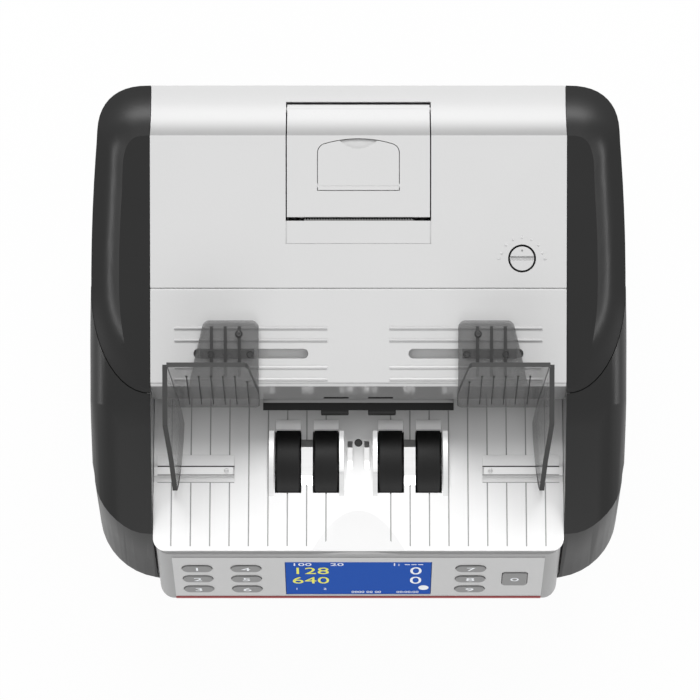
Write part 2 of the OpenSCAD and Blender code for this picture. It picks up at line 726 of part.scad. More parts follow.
// Note guides: a tab over the feed cover, a wall before the fascia and a side wall along the notes
tab_lift = ridge_h + fit_gap;
tab_t = 2.5;
guide_lean = fascia_lean;
guide_low_z = fascia_top_z - fascia_h - 1.4;
guide_in_x = guide_out_x - 51;
tab_in_x = guide_in_x;
function wall_y(z) = deck_front_y - fit_gap - guide_t / cos(guide_lean)
    / 2 - 1.2 - (fascia_top_z - z) * tan(guide_lean);
side_lift = 1.6;
side_span = guide_foot_y - guide_tip_y;
side_low_x = guide_out_x - guide_t - 5.7;
side_low_z = table_z(guide_foot_y) + side_lift;
function side_x(y, z) = side_low_x + (z - side_low_z) * 5.7 / (guide_top_z - side_low_z)
    + 2.9 * pow(max(0, guide_foot_y - y) / side_span, 2);
// Edge of the side wall from the corner to the tip: low and high points of each station
function low_point(share) = let (y = guide_foot_y - share * side_span) [y, table_z(y) + side_lift];
guide_stations = [
    [[wall_y(guide_low_z), guide_low_z], [wall_y(guide_top_z), guide_top_z]],
    [low_point(0), [guide_foot_y + 0.2 * side_span, guide_top_z - 1.2]],
    [low_point(0.22), [guide_foot_y - 0.14 * side_span, guide_top_z - 2.6]],
    [low_point(0.59), [low_point(0.59)[0], (guide_top_z + low_point(0.59)[1]) / 2]],
    [low_point(0.9), low_point(0.955) + [0, 5.4]],
    [low_point(0.97) + [0, 1], low_point(1) + [0, 2.4]]];
module guide_side() {
    n = len(guide_stations);
    points = [for (s = guide_stations) each [
        [side_x(s[0][0], s[0][1]), s[0][0], s[0][1]],
        [side_x(s[1][0], s[1][1]), s[1][0], s[1][1]],
        [side_x(s[1][0], s[1][1]) + guide_t, s[1][0], s[1][1]],
        [side_x(s[0][0], s[0][1]) + guide_t, s[0][0], s[0][1]]]];
    faces = concat(
        [[0, 2, 1], [0, 3, 2]],
        [for (i = [0:n - 2]) for (k = [0:3]) let (a = 4 * i + k, b = 4 * i + (k + 1) % 4) each [
            [a, b + 4, a + 4], [a, b, b + 4]]],
        [let (e = 4 * (n - 1)) each [[e, e + 1, e + 2], [e, e + 2, e + 3]]]);
    polyhedron(points, faces);
}
module guide() {
    wall_len = (guide_top_z - guide_low_z) / cos(guide_lean);
    join_len = (fascia_top_z - guide_low_z) / cos(guide_lean);
    low_out = side_x(wall_y(guide_low_z), guide_low_z) + 0.5;
    top_out = side_x(wall_y(guide_top_z), guide_top_z) + 0.5;
    color(smoke) {
        guide_side();
        translate([0, wall_y(guide_low_z), guide_low_z]) rotate([90 - guide_lean, 0, 0])
            translate([0, 0, -guide_t / 2]) linear_extrude(guide_t) polygon(concat(
                [[low_out, 0], [top_out, wall_len]],
                [[guide_in_x + 6.5, wall_len], [guide_in_x + 5, wall_len - 2], [guide_in_x, join_len]],
                corner_points(guide_in_x + 3, 3, 3, 180, 270)));
        at_deck(0, slot_y) translate([0, 0, tab_lift]) linear_extrude(tab_t) polygon(concat(
            [[tab_in_x, deck_front_y - slot_y - 2.6]],
            corner_points(tab_in_x + 4, 14.4, 4, 180, 90),
            corner_points(slot_out_x - 9, 14.4, 4, 90, 20),
            [[slot_out_x - 0.8, -2.6], [slot_out_x + 3, deck_front_y - slot_y - 2.6]]));
    }
}
module right_guide() { guide(); }
module left_guide() { left_side() guide(); }
module slider() {
    neck_w = slot_w - 2 * move_gap;
    mid_x = slot_out_x - move_gap - slider_len / 2 - 3;
    color(black) at_deck(mid_x, slot_y) {
        translate([0, 0, -skin - fit_gap - eps]) linear_extrude(skin + fit_gap
            + tab_lift + eps) pill(slider_len, neck_w);
        translate([0, 0, -skin - fit_gap - 2]) linear_extrude(2) rounded_box(slider_len, slot_w + 4,
            1.5);
    }
}
module right_slider() { slider(); }
module left_slider() { left_side() slider(); }

// Front housing with the recess of the overlay, the window and the key wells
housing_back_y = -46;
housing_low_z = panel_top_z - panel_len * cos(panel_lean);
wall_back = skin;
overlay_mid = overlay_top + overlay_h / 2;
key_gap = 0.35;
key_spots = [
    [-key_out_x, -1], [-key_out_x, 0], [-key_out_x, 1],
    [-key_in_x, -1], [-key_in_x, 0], [-key_in_x, 1],
    [key_in_x, -1], [key_in_x, 0], [key_in_x, 1]];
reset_x = key_out_x - 2.4;
module key_holes(gap) {
    for (k = key_spots) translate([k[0], -panel_mid - k[1] * key_pitch]) pill(key_w + 2 * gap,
        key_h + 2 * gap);
    translate([reset_x, -panel_mid]) rounded_box(reset_w + 2 * gap, reset_h + 2 * gap, 2);
}
module window_hole(gap) {
    translate([0, -panel_mid]) square([window_w + 2 * gap, window_h + 2 * gap], center = true);
}
module housing_block(wall) {
    intersection() {
        at_panel(0, -40) rotate([90, 0, 0]) linear_extrude(panel_len + 80) polygon(concat(
            [[-housing_half + wall, -big], [housing_half - wall, -big]],
            corner_points(housing_half - housing_corner_r, -housing_corner_r, housing_corner_r - wall,
                0, 90),
            corner_points(housing_corner_r - housing_half, -housing_corner_r, housing_corner_r - wall,
                90, 180)));
        across(housing_half) polygon([
            [-160, housing_low_z + wall],
            [housing_back_y + (wall > 0 ? 1 : 0), housing_low_z + wall],
            [housing_back_y + (wall > 0 ? 1 : 0), housing_low_z + skin + 2 + (wall > 0 ? big : 0)],
            [-100, wall > 0 ? big : table_z(-100) - table_t - recess_depth - fit_gap],
            [table_front_y, wall > 0 ? big : table_z(table_front_y) - table_t - 0.02],
            [-160, wall > 0 ? big : table_z(-160) - table_t - 0.02]]);
    }
}
module front_housing() {
    color(mid_grey) difference() {
        housing_block(0);
        housing_block(skin);
        at_panel(0, overlay_mid) translate([0, 0, -overlay_t + 0.4]) linear_extrude(5)
            square([2 * overlay_half, overlay_h], center = true);
        at_panel(0, 0) translate([0, 0, -20]) linear_extrude(40) {
            key_holes(key_gap);
            window_hole(fit_gap);
        }
    }
}
module control_panel() {
    color(light_grey) at_panel(0, 0) translate([0, 0, 0.4 - overlay_t])
        linear_extrude(overlay_t) difference() {
        translate([0, -overlay_mid]) square([2 * overlay_half - 0.1, overlay_h - 0.1], center = true);
        key_holes(key_gap);
        window_hole(fit_gap);
    }
}
window_t = 1.6;
module display_window() {
    color(blue) at_panel(0, 0) translate([0, 0, 0.2 - window_t])
        linear_extrude(window_t) window_hole(0);
}
// Board behind the panel, with the display block and the posts that hold it
board_w = -9;
board_h = overlay_h - 10;
board_mid = overlay_mid - 2.5;
module display_board() {
    color([0.1, 0.35, 0.2]) at_panel(0, 0) {
        translate([0, -board_mid, board_w]) linear_extrude(1.6) square([2 * overlay_half - 0.6,
            board_h], center = true);
        translate([0, -panel_mid, board_w + 1.6 - eps]) linear_extrude(0.2 - window_t - board_w - 1.6)
            square([window_w - 1, window_h - 1], center = true);
        for (x = [-1, 1], v = [-1, 1]) translate([x * (overlay_half - 2.1),
            -board_mid + v * (board_h / 2 - 3),
                board_w + 1.6 - eps])
            cylinder(r = 1.7, h = -skin - board_w - 1.6 + eps);
    }
}
module key_body(w, h, r) {
    color(mid_grey) {
        translate([0, 0, -skin - fit_gap]) linear_extrude(skin + fit_gap + 0.4 + key_proud) children();
        translate([0, 0, -skin - fit_gap - 1.2]) linear_extrude(1.2 + eps) rounded_box(w + 2, h + 2, r);
        translate([0, 0, -skin - fit_gap - 2]) cylinder(r = 2, h = 1);
    }
}
module key(i) {
    at_panel(key_spots[i][0], panel_mid + key_spots[i][1] * key_pitch) key_body(key_w, key_h,
        2) pill(key_w, key_h);
}
module reset_key() {
    at_panel(reset_x, panel_mid) key_body(reset_w, reset_h, 2) rounded_box(reset_w, reset_h, 2);
}

// Receipt printer
barrel_r = 3;
lid_pin_r = 1.5;
hinge_y = lid_rear_y - barrel_r;
hinge_z = skirt_z(hinge_y) - barrel_r - 0.1;
// Line of the lid behind the ridge: the same hollow as the top cover
function lid_line(wall) = [for (i = [0:8]) let (y = ridge_y + i * (hinge_y - ridge_y) / 8) [y,
    skirt_z(y) - wall]];
latch_depth = 4.6;
latch_pin_y = 2.4;
latch_pin_z = -1.4;
latch_pin_r = 1.2;
platen_y = lid_front_y + 2.6;
platen_z = deck_z(platen_y) - lid_t - platen_r - 0.6;
platen_pin_r = 1.5;
module latch_outline(gap) {
    arch = 4;
    k = 5;
    r = (pow(latch_half, 2) + pow(arch, 2)) / (2 * arch);
    rise = sqrt(pow(r - k, 2) - pow(latch_half - k, 2));
    mid = latch_len - r;
    turn = atan2(rise, latch_half - k);
    polygon(concat([[latch_half + gap, -gap]],
        corner_points(latch_half - k, mid + rise, k + gap, 0, turn),
        corner_points(0, mid, r + gap, turn, 180 - turn),
        corner_points(k - latch_half, mid + rise, k + gap, 180 - turn, 180),
        [[-latch_half - gap, -gap]]));
}
module printer_lid() {
    ear_x = platen_len / 2 + 1;
    color(light_grey) difference() {
        union() {
            across(lid_half) polygon(concat([
                [lid_front_y, deck_z(lid_front_y)]],
                lid_line(0), reversed(lid_line(lid_t)),
                [[lid_front_y, deck_z(lid_front_y) - lid_t]]));
            rod(-lid_half, lid_half, hinge_y, hinge_z, barrel_r);
            rod(-lid_half - boss_w + 2, lid_half + boss_w - 2, hinge_y, hinge_z, lid_pin_r);
            at_deck(0, latch_front_y) translate([-latch_half - 3, -2.5, -latch_depth - 1.5])
                cube([2 * latch_half + 6, latch_len + 4, latch_depth]);
            for (s = [-1, 1]) translate([s * (ear_x + 1.1) - 1.1, platen_y - 2.6, platen_z - 3])
                cube([2.2, 6, platen_r + 4.6]);
        }
        at_deck(0, latch_front_y) translate([0, 0, -latch_depth])
            linear_extrude(big) latch_outline(move_gap);
        at_deck(0, latch_front_y) translate([0, latch_pin_y, latch_pin_z]) rotate([0, 90, 0])
            cylinder(r = latch_pin_r + run_gap, h = 2 * latch_half + 5, center = true);
        rod(-ear_x - 5, ear_x + 5, platen_y, platen_z, platen_pin_r + run_gap);
    }
}
module lid_latch() {
    color(light_grey) at_deck(0, latch_front_y) {
        difference() {
            translate([0, 0, -2.5]) linear_extrude(2.4) latch_outline(0);
            translate([0, latch_len + 8, -1.1]) cylinder(r = 13.5, h = 10);
            translate([-latch_half - 1, 2, -0.5]) cube([2 * latch_half + 2, 0.4, 1]);
        }
        translate([0, latch_pin_y, latch_pin_z]) rotate([0, 90, 0])
            cylinder(r = latch_pin_r, h = 2 * latch_half + 4.4, center = true);
    }
}
module platen_roller() {
    color(black) {
        rod(-platen_len / 2, platen_len / 2, platen_y, platen_z, platen_r);
        rod(-platen_len / 2 - 3, platen_len / 2 + 3, platen_y, platen_z, platen_pin_r);
    }
}
tub_wall = 1.8;
tub_low_z = drum_z + drum_r + 8;
bezel_rear_y = lid_front_y - paper_slot;
head_front_y = bezel_rear_y - 6;
module printer_tub() {
    out_half = opening_half + tub_wall;
    front_y = bezel_front_y - tub_wall;
    rear_end = opening_rear_y + tub_wall;
    color(light_grey) difference() {
        union() {
            across(out_half) polygon(concat([[front_y, tub_low_z], [front_y, deck_z(front_y) - skin]],
                [for (y = [ridge_y:3:rear_end]) [y, skirt_z(y) - skin]], [[rear_end,
                    skirt_z(rear_end) - skin],
                [rear_end, tub_low_z]]));
            across(lid_half) polygon([[bezel_front_y, deck_z(bezel_front_y)], [bezel_rear_y,
                deck_z(bezel_rear_y)],
                [bezel_rear_y, deck_z(bezel_rear_y) - skin - eps], [bezel_front_y,
                    deck_z(bezel_front_y) - skin - 2]]);
        }
        translate([-opening_half, head_front_y, tub_low_z + tub_wall])
            cube([2 * opening_half, opening_rear_y - head_front_y, deck_z(bezel_front_y)
                - skin - tub_low_z - tub_wall]);
        translate([-opening_half, bezel_rear_y, tub_low_z + tub_wall])
            cube([2 * opening_half, opening_rear_y - bezel_rear_y, big]);
        for (s = [-1, 1]) translate([s * (opening_half + boss_w / 2), hinge_y, hinge_z])
            cube([boss_w + 2, 8.6, 9.6], center = true);
    }
}
module print_head() {
    z1 = deck_z(head_front_y) - skin - 1.5;
    color(black) translate([-platen_len / 2, head_front_y, z1 - 12]) cube([platen_len,
        platen_y - platen_r - move_gap - head_front_y, 12]);
}
module tear_bar() {
    teeth = 40;
    pitch = (platen_len + 2) / teeth;
    color(steel) at_deck(0, bezel_rear_y) translate([0, 0, -1.4]) linear_extrude(0.8) polygon(concat(
        [for (i = [0:teeth]) each [[-platen_len / 2 - 1 + i * pitch, 0.4],
            [-platen_len / 2 - 1 + (i + 0.5) * pitch, i < teeth ? 1.3 : 0.4]]],
        [[platen_len / 2 + 1, 0], [-platen_len / 2 - 1, 0]]));
}
knob_stem_r = 3;
module thickness_knob() {
    top = -0.3;
    color(light_grey) at_deck(knob_x, knob_y) difference() {
        union() {
            translate([0, 0, 2.5 - knob_cup_depth + fit_gap]) cylinder(r = knob_r,
                h = knob_cup_depth - 2.5 - fit_gap + top);
            translate([0, 0, -knob_cup_depth - 6]) cylinder(r = knob_stem_r, h = knob_cup_depth);
            translate([0, 0, -knob_cup_depth - 6]) cylinder(r = knob_stem_r + 2, h = 6 - fit_gap);
        }
        translate([-knob_r, -knob_groove_w / 2, top - 0.8]) cube([2 * knob_r, knob_groove_w, 5]);
    }
}

// Shafts and rollers
feed_x = 12.3;
feed_w = 12;
feed_z = table_z(feed_y) + 0.4 - feed_r;
retard_r = 12;
retard_z = feed_z + feed_r + move_gap + retard_r;
pulley_x = plate_out + 1.2;
lane = belt_w + 1;
belt_gap = 0.1;
shaft_end = plate_out + 1;
// Shaft across the machine with a collar and pulleys at its right end
module pulley_shaft(y, z, lanes) {
    rod(-shaft_end, pulley_x + 2 * lane + 1, y, z, shaft_r);
    for (i = [0:1]) if (lanes[i] > 0) rod(pulley_x + i * lane, pulley_x + (i + 1) * lane - 0.4, y, z,
        lanes[i]);
}
// Tyre or wheel bored for its shaft
module ring(x, w, y, z, r) {
    difference() {
        rod(x - w / 2, x + w / 2, y, z, r);
        rod(x - w, x + w, y, z, shaft_r + 0.02);
    }
}
small_pulley = 8;
large_pulley = 20;
pickup_pulley = 14;
module pickup_shaft() { color(steel) pulley_shaft(pickup_y, pickup_z, [pickup_pulley, 0]); }
module pickup_rollers() { color(black) for (x = pickup_xs) ring(x, pickup_w, pickup_y, pickup_z,
    pickup_r); }
module feed_shaft() { color(steel) pulley_shaft(feed_y, feed_z, [small_pulley, small_pulley]); }
module feed_rollers() { color(black) for (s = [-1, 1]) ring(s * feed_x, feed_w, feed_y, feed_z,
    feed_r); }
module transport_shaft() { color(steel) pulley_shaft(drum_y, drum_z, [large_pulley, large_pulley]); }
module transport_drums() { color(mid_grey) for (s = [-1, 1]) ring(s * drum_x, drum_w, drum_y, drum_z,
    drum_r); }
module motor_pulley() {
    color(steel) {
        rod(plate_in - 2.5 * shaft_r, pulley_x + 2 * lane, motor_y, motor_z, shaft_r);
        rod(pulley_x, pulley_x + lane - 0.4, motor_y, motor_z, small_pulley);
    }
}
module drive_motor() {
    color(mid_grey) difference() {
        rod(plate_in - motor_len, plate_in, motor_y, motor_z, motor_r);
        rod(plate_in - 3 * shaft_r, plate_in + 1, motor_y, motor_z, shaft_r + run_gap);
    }
}
// Belt round two pulleys that lie in one lane
module belt(a, ra, b, rb, layer) {
    module run(grow) {
        hull() {
            translate(a) circle(ra + grow);
            translate(b) circle(rb + grow);
        }
    }
    translate([pulley_x + layer * lane + 0.3, 0, 0]) rotate([90, 0, 90]) linear_extrude(belt_w
        - 0.3) difference() {
        run(belt_gap + belt_t);
        run(belt_gap);
    }
}
module drive_belts() {
    color(black) {
        belt([motor_y, motor_z], small_pulley, [drum_y, drum_z], large_pulley, 0);
        belt([drum_y, drum_z], large_pulley, [feed_y, feed_z], small_pulley, 1);
        belt([feed_y, feed_z], small_pulley, [pickup_y, pickup_z], pickup_pulley, 0);
    }
}
// Retard rollers hang on a bracket under the feed cover
module retard_bracket() {
    arm_x = feed_x + feed_w / 2 + 2;
    color(steel) difference() {
        union() {
            across(arm_x + 2) polygon([[feed_y - 8, deck_z(feed_y - 8) - skin - 3], [feed_y - 8,
                deck_z(feed_y - 8) - skin],
                [feed_y + 10, deck_z(feed_y + 10) - skin], [feed_y + 10,
                    deck_z(feed_y + 10) - skin - 3]]);
            for (s = [-1, 1]) translate([s * (arm_x + 1) - 1, feed_y - 5, retard_z - 5])
                cube([2, 10, deck_z(feed_y - 5) - skin - 1 - retard_z + 5]);
        }
        rod(-arm_x - 3, arm_x + 3, feed_y, retard_z, shaft_r);
    }
}
module retard_roller() {
    color(black) {
        for (s = [-1, 1]) rod(s * feed_x - feed_w / 2, s * feed_x + feed_w / 2, feed_y, retard_z,
            retard_r);
        rod(-feed_x - feed_w / 2 - 3.8, feed_x + feed_w / 2 + 3.8, feed_y, retard_z, shaft_r - 0.02);
    }
}
// Curved guide that turns the notes round the drums
module note_guide() {
    r = drum_r + 4;
    color(steel) across(bay_half) difference() {
        translate([drum_y, drum_z]) circle(r + 1.5, $fn = 96);
        translate([drum_y, drum_z]) circle(r, $fn = 96);
        translate([drum_y - 100, drum_z - 100]) square([100 + 6, 200]);
    }
}
module image_sensor() {
    front = drum_y + drum_r + 5.8;
    color(black) across(bay_half) translate([front, drum_z - 9]) square([13, 18]);
}

// Stacker
stacker_lean = 9;
plate_low = [stacker_back_y, floor_z + 0.55 * tray_front_h];
stacker_xs = [-75, -25, 25, 75];
function stacker_plate_y(z) = plate_low[0] + (z - plate_low[1]) * tan(stacker_lean);
module stacker_shaft() {
    color(steel) {
        rod(-shaft_end, shaft_end, stacker_y, stacker_z, shaft_r);
    }
}
module stacker_wheel() {
    hub = 13;
    color([0.2, 0.2, 0.22]) rotate([90, 0, 90]) linear_extrude(stacker_wheel_w,
        center = true) difference() {
        union() {
            circle(hub);
            for (a = [0:45:315]) rotate(a) intersection() {
                difference() {
                    translate([stacker_r / 2, 0]) circle(stacker_r / 2 + 2);
                    translate([stacker_r / 2, 0]) circle(stacker_r / 2 + 0.2);
                }
                translate([0, 0]) square([stacker_r, stacker_r]);
                circle(stacker_r);
            }
        }
        circle(shaft_r + 0.02);
    }
}
module stacker_wheels() {
    for (x = stacker_xs) translate([x, stacker_y, stacker_z]) stacker_wheel();
}
module stacker_plate() {
    top_z = housing_low_z - fit_gap;
    t = 2;
    color(light_grey) difference() {
        across(insert_half) polygon([[plate_low[0], plate_low[1]], [stacker_plate_y(top_z), top_z],
            [stacker_plate_y(top_z) + t, top_z], [plate_low[0] + t, plate_low[1]]]);
        for (x = stacker_xs) translate([x - stacker_wheel_w / 2 - 1.5, plate_low[0] - 20,
            stacker_z - stacker_r])
            cube([stacker_wheel_w + 3, 60, 2 * stacker_r]);
    }
}
module stacker_tray() {
    front_z = floor_z + tray_front_h;
    color(dark_grey) difference() {
        across(insert_half) polygon([[arm_front_y + 1, floor_z], [arm_front_y + 1, front_z],
            [arm_front_y + 4, front_z],
            [plate_low[0], plate_low[1]], [plate_low[0] + 2, plate_low[1]], [plate_low[0] + 2, floor_z],
            [plate_low[0] - 1, floor_z], [plate_low[0] - 1, plate_low[1] - 3.4], [arm_front_y + 4,
                front_z - 3.2],
            [arm_front_y + 4, floor_z]]);
        // Finger notch in the front edge
        translate([0, arm_front_y - 8, 0]) cylinder(r = 40, h = big);
    }
}

// Power inlet with a rocker switch
inlet_depth = 22;
rocker_x = inlet_x + 17;
rocker_y = rear_cover_out + 0.2;
module power_inlet() {
    color(black) difference() {
        union() {
            translate([inlet_x - inlet_w / 2 + 0.2, rear_cover_out - inlet_depth,
                inlet_z - inlet_h / 2 + 0.2])
                cube([inlet_w - 0.4, inlet_depth, inlet_h - 0.4]);
            translate([inlet_x - inlet_w / 2 - 2, rear_cover_out, inlet_z - inlet_h / 2 - 2])
                cube([inlet_w + 4, 2, inlet_h + 4]);
        }
        difference() {
            translate([inlet_x - 25, rear_cover_out - 16, inlet_z - 8.5]) cube([25, big, 17]);
            for (p = [[-7, -2], [0, 2], [7, -2]]) translate([inlet_x - 12.5 + p[0] - 1,
                rear_cover_out - 17, inlet_z + p[1] - 2])
                cube([2, 10, 4]);
        }
        translate([rocker_x - 7, rear_cover_out - 12, inlet_z - 10]) cube([14, big, 20]);
        rod(rocker_x - 9, rocker_x + 9, rocker_y - 5, inlet_z, 1.5 + run_gap);
    }
}
module power_rocker() {
    color([0.08, 0.08, 0.08]) {
        translate([rocker_x - 6.5, 0, 0]) rotate([90, 0, 90]) linear_extrude(13) polygon([[rocker_y
            - 8, inlet_z - 3],
            [rocker_y - 8, inlet_z + 3], [rocker_y - 2.4, inlet_z + 8.4], [rocker_y + 1, inlet_z + 8.4],
            [rocker_y - 1, inlet_z], [rocker_y - 1.6, inlet_z - 8.4], [rocker_y - 4, inlet_z - 8.4]]);
        rod(rocker_x - 8.6, rocker_x + 8.6, rocker_y - 5, inlet_z, 1.5);
    }
}

base_pan();
feet();
left_side_plate();
right_side_plate();
left_lower_cover();
right_lower_cover();
left_upper_cover();
right_upper_cover();
top_cover();
feed_cover();
fascia_strip();
rear_cover();
hopper_table();
left_rail();
right_rail();
hopper_sensor();
left_guide();
right_guide();
left_slider();
right_slider();
front_housing();
control_panel();
display_window();
display_board();
key(0);  // left_key_1
key(1);  // left_key_2
key(2);  // left_key_3
key(3);  // left_key_4
key(4);  // left_key_5
key(5);  // left_key_6
key(6);  // right_key_1
key(7);  // right_key_2
key(8);  // right_key_3
reset_key();
printer_tub();
printer_lid();
lid_latch();
platen_roller();
print_head();
tear_bar();
thickness_knob();
pickup_shaft();
pickup_rollers();
feed_shaft();
feed_rollers();
retard_bracket();
retard_roller();
transport_shaft();
transport_drums();
note_guide();
image_sensor();
stacker_shaft();
stacker_wheels();
stacker_plate();
stacker_tray();
drive_motor();
motor_pulley();
drive_belts();
power_inlet();
power_rocker();
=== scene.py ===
import bpy, json, math
from mathutils import Matrix, Vector

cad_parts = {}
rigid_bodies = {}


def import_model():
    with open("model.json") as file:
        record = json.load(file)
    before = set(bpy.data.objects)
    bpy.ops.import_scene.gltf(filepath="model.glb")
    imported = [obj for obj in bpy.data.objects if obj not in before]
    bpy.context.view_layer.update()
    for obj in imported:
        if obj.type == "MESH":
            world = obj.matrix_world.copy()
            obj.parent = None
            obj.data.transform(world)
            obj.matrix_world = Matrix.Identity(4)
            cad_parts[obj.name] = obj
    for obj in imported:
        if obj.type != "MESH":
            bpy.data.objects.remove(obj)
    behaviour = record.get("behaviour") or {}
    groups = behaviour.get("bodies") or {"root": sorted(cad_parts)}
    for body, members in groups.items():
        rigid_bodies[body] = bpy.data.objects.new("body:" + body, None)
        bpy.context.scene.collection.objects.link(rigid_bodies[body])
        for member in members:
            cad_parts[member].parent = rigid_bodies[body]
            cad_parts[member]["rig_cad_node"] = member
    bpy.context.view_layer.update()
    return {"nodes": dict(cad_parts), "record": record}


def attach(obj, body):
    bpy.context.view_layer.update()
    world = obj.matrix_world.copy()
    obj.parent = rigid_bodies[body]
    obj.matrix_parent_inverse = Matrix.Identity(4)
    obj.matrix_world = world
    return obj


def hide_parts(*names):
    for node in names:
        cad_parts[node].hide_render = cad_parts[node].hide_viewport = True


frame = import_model()
nodes = frame["nodes"]
mm = 0.001
print("frame loaded:", len(nodes), "nodes")

# sloping surfaces of the machine, as the solids have them (mm and degrees)
slopes = {
    "deck": {"at": (0, 111.5, 228.3), "tilt": 6.9},
    "table": {"at": (0, -115.1, 184.4), "tilt": -6.0},
    "panel": {"at": (0, -116.5, 183.3), "tilt": 64.7},
    "wall": {"at": (0, -34.63, 194.22), "tilt": 70.5},
    "plain": {"at": (0, 0, 0), "tilt": 0.0},
}


def slopeMatrix(name):
    s = slopes[name]
    return Matrix.Translation(Vector(s["at"]) * mm) @ Matrix.Rotation(math.radians(s["tilt"]), 4, "X")


def deckSpot(x, y, lift=0.0):  # a place on the deck by its plan position, in the deck's own frame
    d = slopes["deck"]
    return (x, (y - d["at"][1]) / math.cos(math.radians(d["tilt"])), lift)


# shader helpers
class Val:
    def __init__(self, tree, socket):
        self.tree, self.socket = tree, socket

    def maths(self, operation, a, b):
        n = self.tree.nodes.new("ShaderNodeMath")
        n.operation = operation
        for i, v in enumerate((a, b)):
            if isinstance(v, Val):
                self.tree.links.new(v.socket, n.inputs[i])
            else:
                n.inputs[i].default_value = v
        return Val(self.tree, n.outputs[0])

    def __add__(self, o): return self.maths("ADD", self, o)
    def __radd__(self, o): return self.maths("ADD", o, self)
    def __mul__(self, o): return self.maths("MULTIPLY", self, o)
    def __rmul__(self, o): return self.maths("MULTIPLY", o, self)
    def __gt__(self, o): return self.maths("GREATER_THAN", self, o)
    def __lt__(self, o): return self.maths("LESS_THAN", self, o)


class Finish:
    def __init__(self, name):
        self.mat = bpy.data.materials.new(name)
        self.mat.use_nodes = True
        self.tree = self.mat.node_tree
        self.shader = self.tree.nodes["Principled BSDF"]
        self.place = self.node("ShaderNodeTexCoord", {}, out="Object")

    def plug(self, socket, v):
        if isinstance(v, Val):
            self.tree.links.new(v.socket, socket)
        else:
            socket.default_value = v

    def node(self, kind, settings, out=0, **sockets):  # i0, i1 are sockets by number, the others go by name
        n = self.tree.nodes.new(kind)
        for k, v in settings.items():
            setattr(n, k, v)
        for k, v in sockets.items():
            byNumber = k[0] == "i" and k[1:].isdigit()
            self.plug(n.inputs[int(k[1:]) if byNumber else k.replace("_", " ")], v)
        return Val(self.tree, n.outputs[out])

    def noise(self, scale, detail=2.0, rough=0.5):
        return self.node("ShaderNodeTexNoise", {}, Vector=self.place, Scale=scale, Detail=detail,
                         Roughness=rough)

    def blend(self, factor, a, b):  # colours are inputs 6 and 7 and output 2 of the Mix node
        return self.node("ShaderNodeMix", {"data_type": "RGBA"}, out=2, i0=factor, i6=a, i7=b)

    def bump(self, height, strength, distance):
        return self.node("ShaderNodeBump", {}, out="Normal", Height=height, Strength=strength,
                         Distance=distance)

    def feed(self, **sockets):
        for k, v in sockets.items():
            self.plug(self.shader.inputs[k.replace("_", " ")], v)
        return self.mat


def grey(v):
    return (v, v, v, 1)


def toned(colour, share, lift=0.0):
    return tuple(min(1, c * share + lift) for c in colour[:3]) + (1,)


# moulded plastic: fine spark texture, faint mottling and a little gloss change
# (shade: a painted shade, where a greyer tone starts and where it is full along y, in metres, and its colour)
plasticLook = {"cloud": (22, 3), "fine": (1.7, 2), "cloudShare": 0.6, "fineShare": 0.4, "sparkShare": 0.6,
               "sparkSmooth": 0.6, "gloss": (0.05, 0.1), "relief": 0.0002, "shadeShare": (0.9, 0.2)}


def mouldedPlastic(name, colour, rough, grain, depth, mottle=0.03, spec=0.5, metal=0.0, shade=None):
    k = plasticLook
    f = Finish(name)
    cloud = f.noise(*k["cloud"])
    fine = f.noise(grain * k["fine"][0], k["fine"][1])
    spark = f.node("ShaderNodeTexVoronoi", {"feature": "SMOOTH_F1"}, out="Distance", Vector=f.place,
                   Scale=grain, Smoothness=k["sparkSmooth"])
    patches = cloud * k["cloudShare"] + fine * k["fineShare"]
    tone = f.blend(patches, toned(colour, 1 - mottle), toned(colour, 1 + mottle))
    if shade:
        start, full, shadeColour = shade
        y = f.node("ShaderNodeSeparateXYZ", {}, out="Y", Vector=f.place)
        reach = f.node("ShaderNodeMapRange", {"interpolation_type": "SMOOTHSTEP"}, Value=y, From_Min=start,
                       From_Max=full)
        base, swing = k["shadeShare"]
        tone = f.blend(reach * (base + cloud * swing) * (y > min(start, full)), tone, shadeColour)
    low, swing = k["gloss"]
    relief = f.bump(spark * k["sparkShare"] + fine * k["fineShare"], depth, k["relief"])
    return f.feed(Base_Color=tone, Roughness=rough - low + cloud * swing, Normal=relief,
                  Specular_IOR_Level=spec, Metallic=metal)


rubberLook = {"cloud": (60, 4), "ribs": (320, 0.6, 2.0), "dust": (1.5, 0.004), "gloss": (0.08, 0.18),
              "ribShare": 0.3, "cloudShare": 0.7, "relief": (0.2, 0.0003)}


def rubber(name, colour, rough, spec):
    k = rubberLook
    f = Finish(name)
    cloud = f.noise(*k["cloud"])
    scale, distortion, detail = k["ribs"]
    ribs = f.node("ShaderNodeTexWave", {"bands_direction": "X"}, Vector=f.place, Scale=scale,
                  Distortion=distortion, Detail=detail)
    low, swing = k["gloss"]
    relief = f.bump(ribs * k["ribShare"] + cloud * k["cloudShare"], *k["relief"])
    return f.feed(Base_Color=f.blend(cloud, colour, toned(colour, *k["dust"])), Normal=relief,
                  Roughness=rough - low + cloud * swing, Specular_IOR_Level=spec)


steelLook = {"stretch": (6, 260, 260), "lines": (6.0, 4.0), "dark": 0.88, "gloss": (0.08, 0.16),
             "relief": (0.05, 0.0002)}


def brushedSteel(name, colour, rough):
    k = steelLook
    f = Finish(name)
    stretch = f.node("ShaderNodeMapping", {}, Vector=f.place, Scale=k["stretch"])
    scale, detail = k["lines"]
    lines = f.node("ShaderNodeTexNoise", {}, Vector=stretch, Scale=scale, Detail=detail)
    low, swing = k["gloss"]
    return f.feed(Base_Color=f.blend(lines, toned(colour, k["dark"]), colour), Metallic=1.0,
                  Roughness=rough - low + lines * swing, Normal=f.bump(lines, *k["relief"]))


smokeLook = {"cloud": (30, 3), "scuff": (240, 3, 0.6), "light": 1.25, "scuffGloss": 0.07, "alpha": (0.02, 0.04),
             "relief": (0.02, 0.0005)}


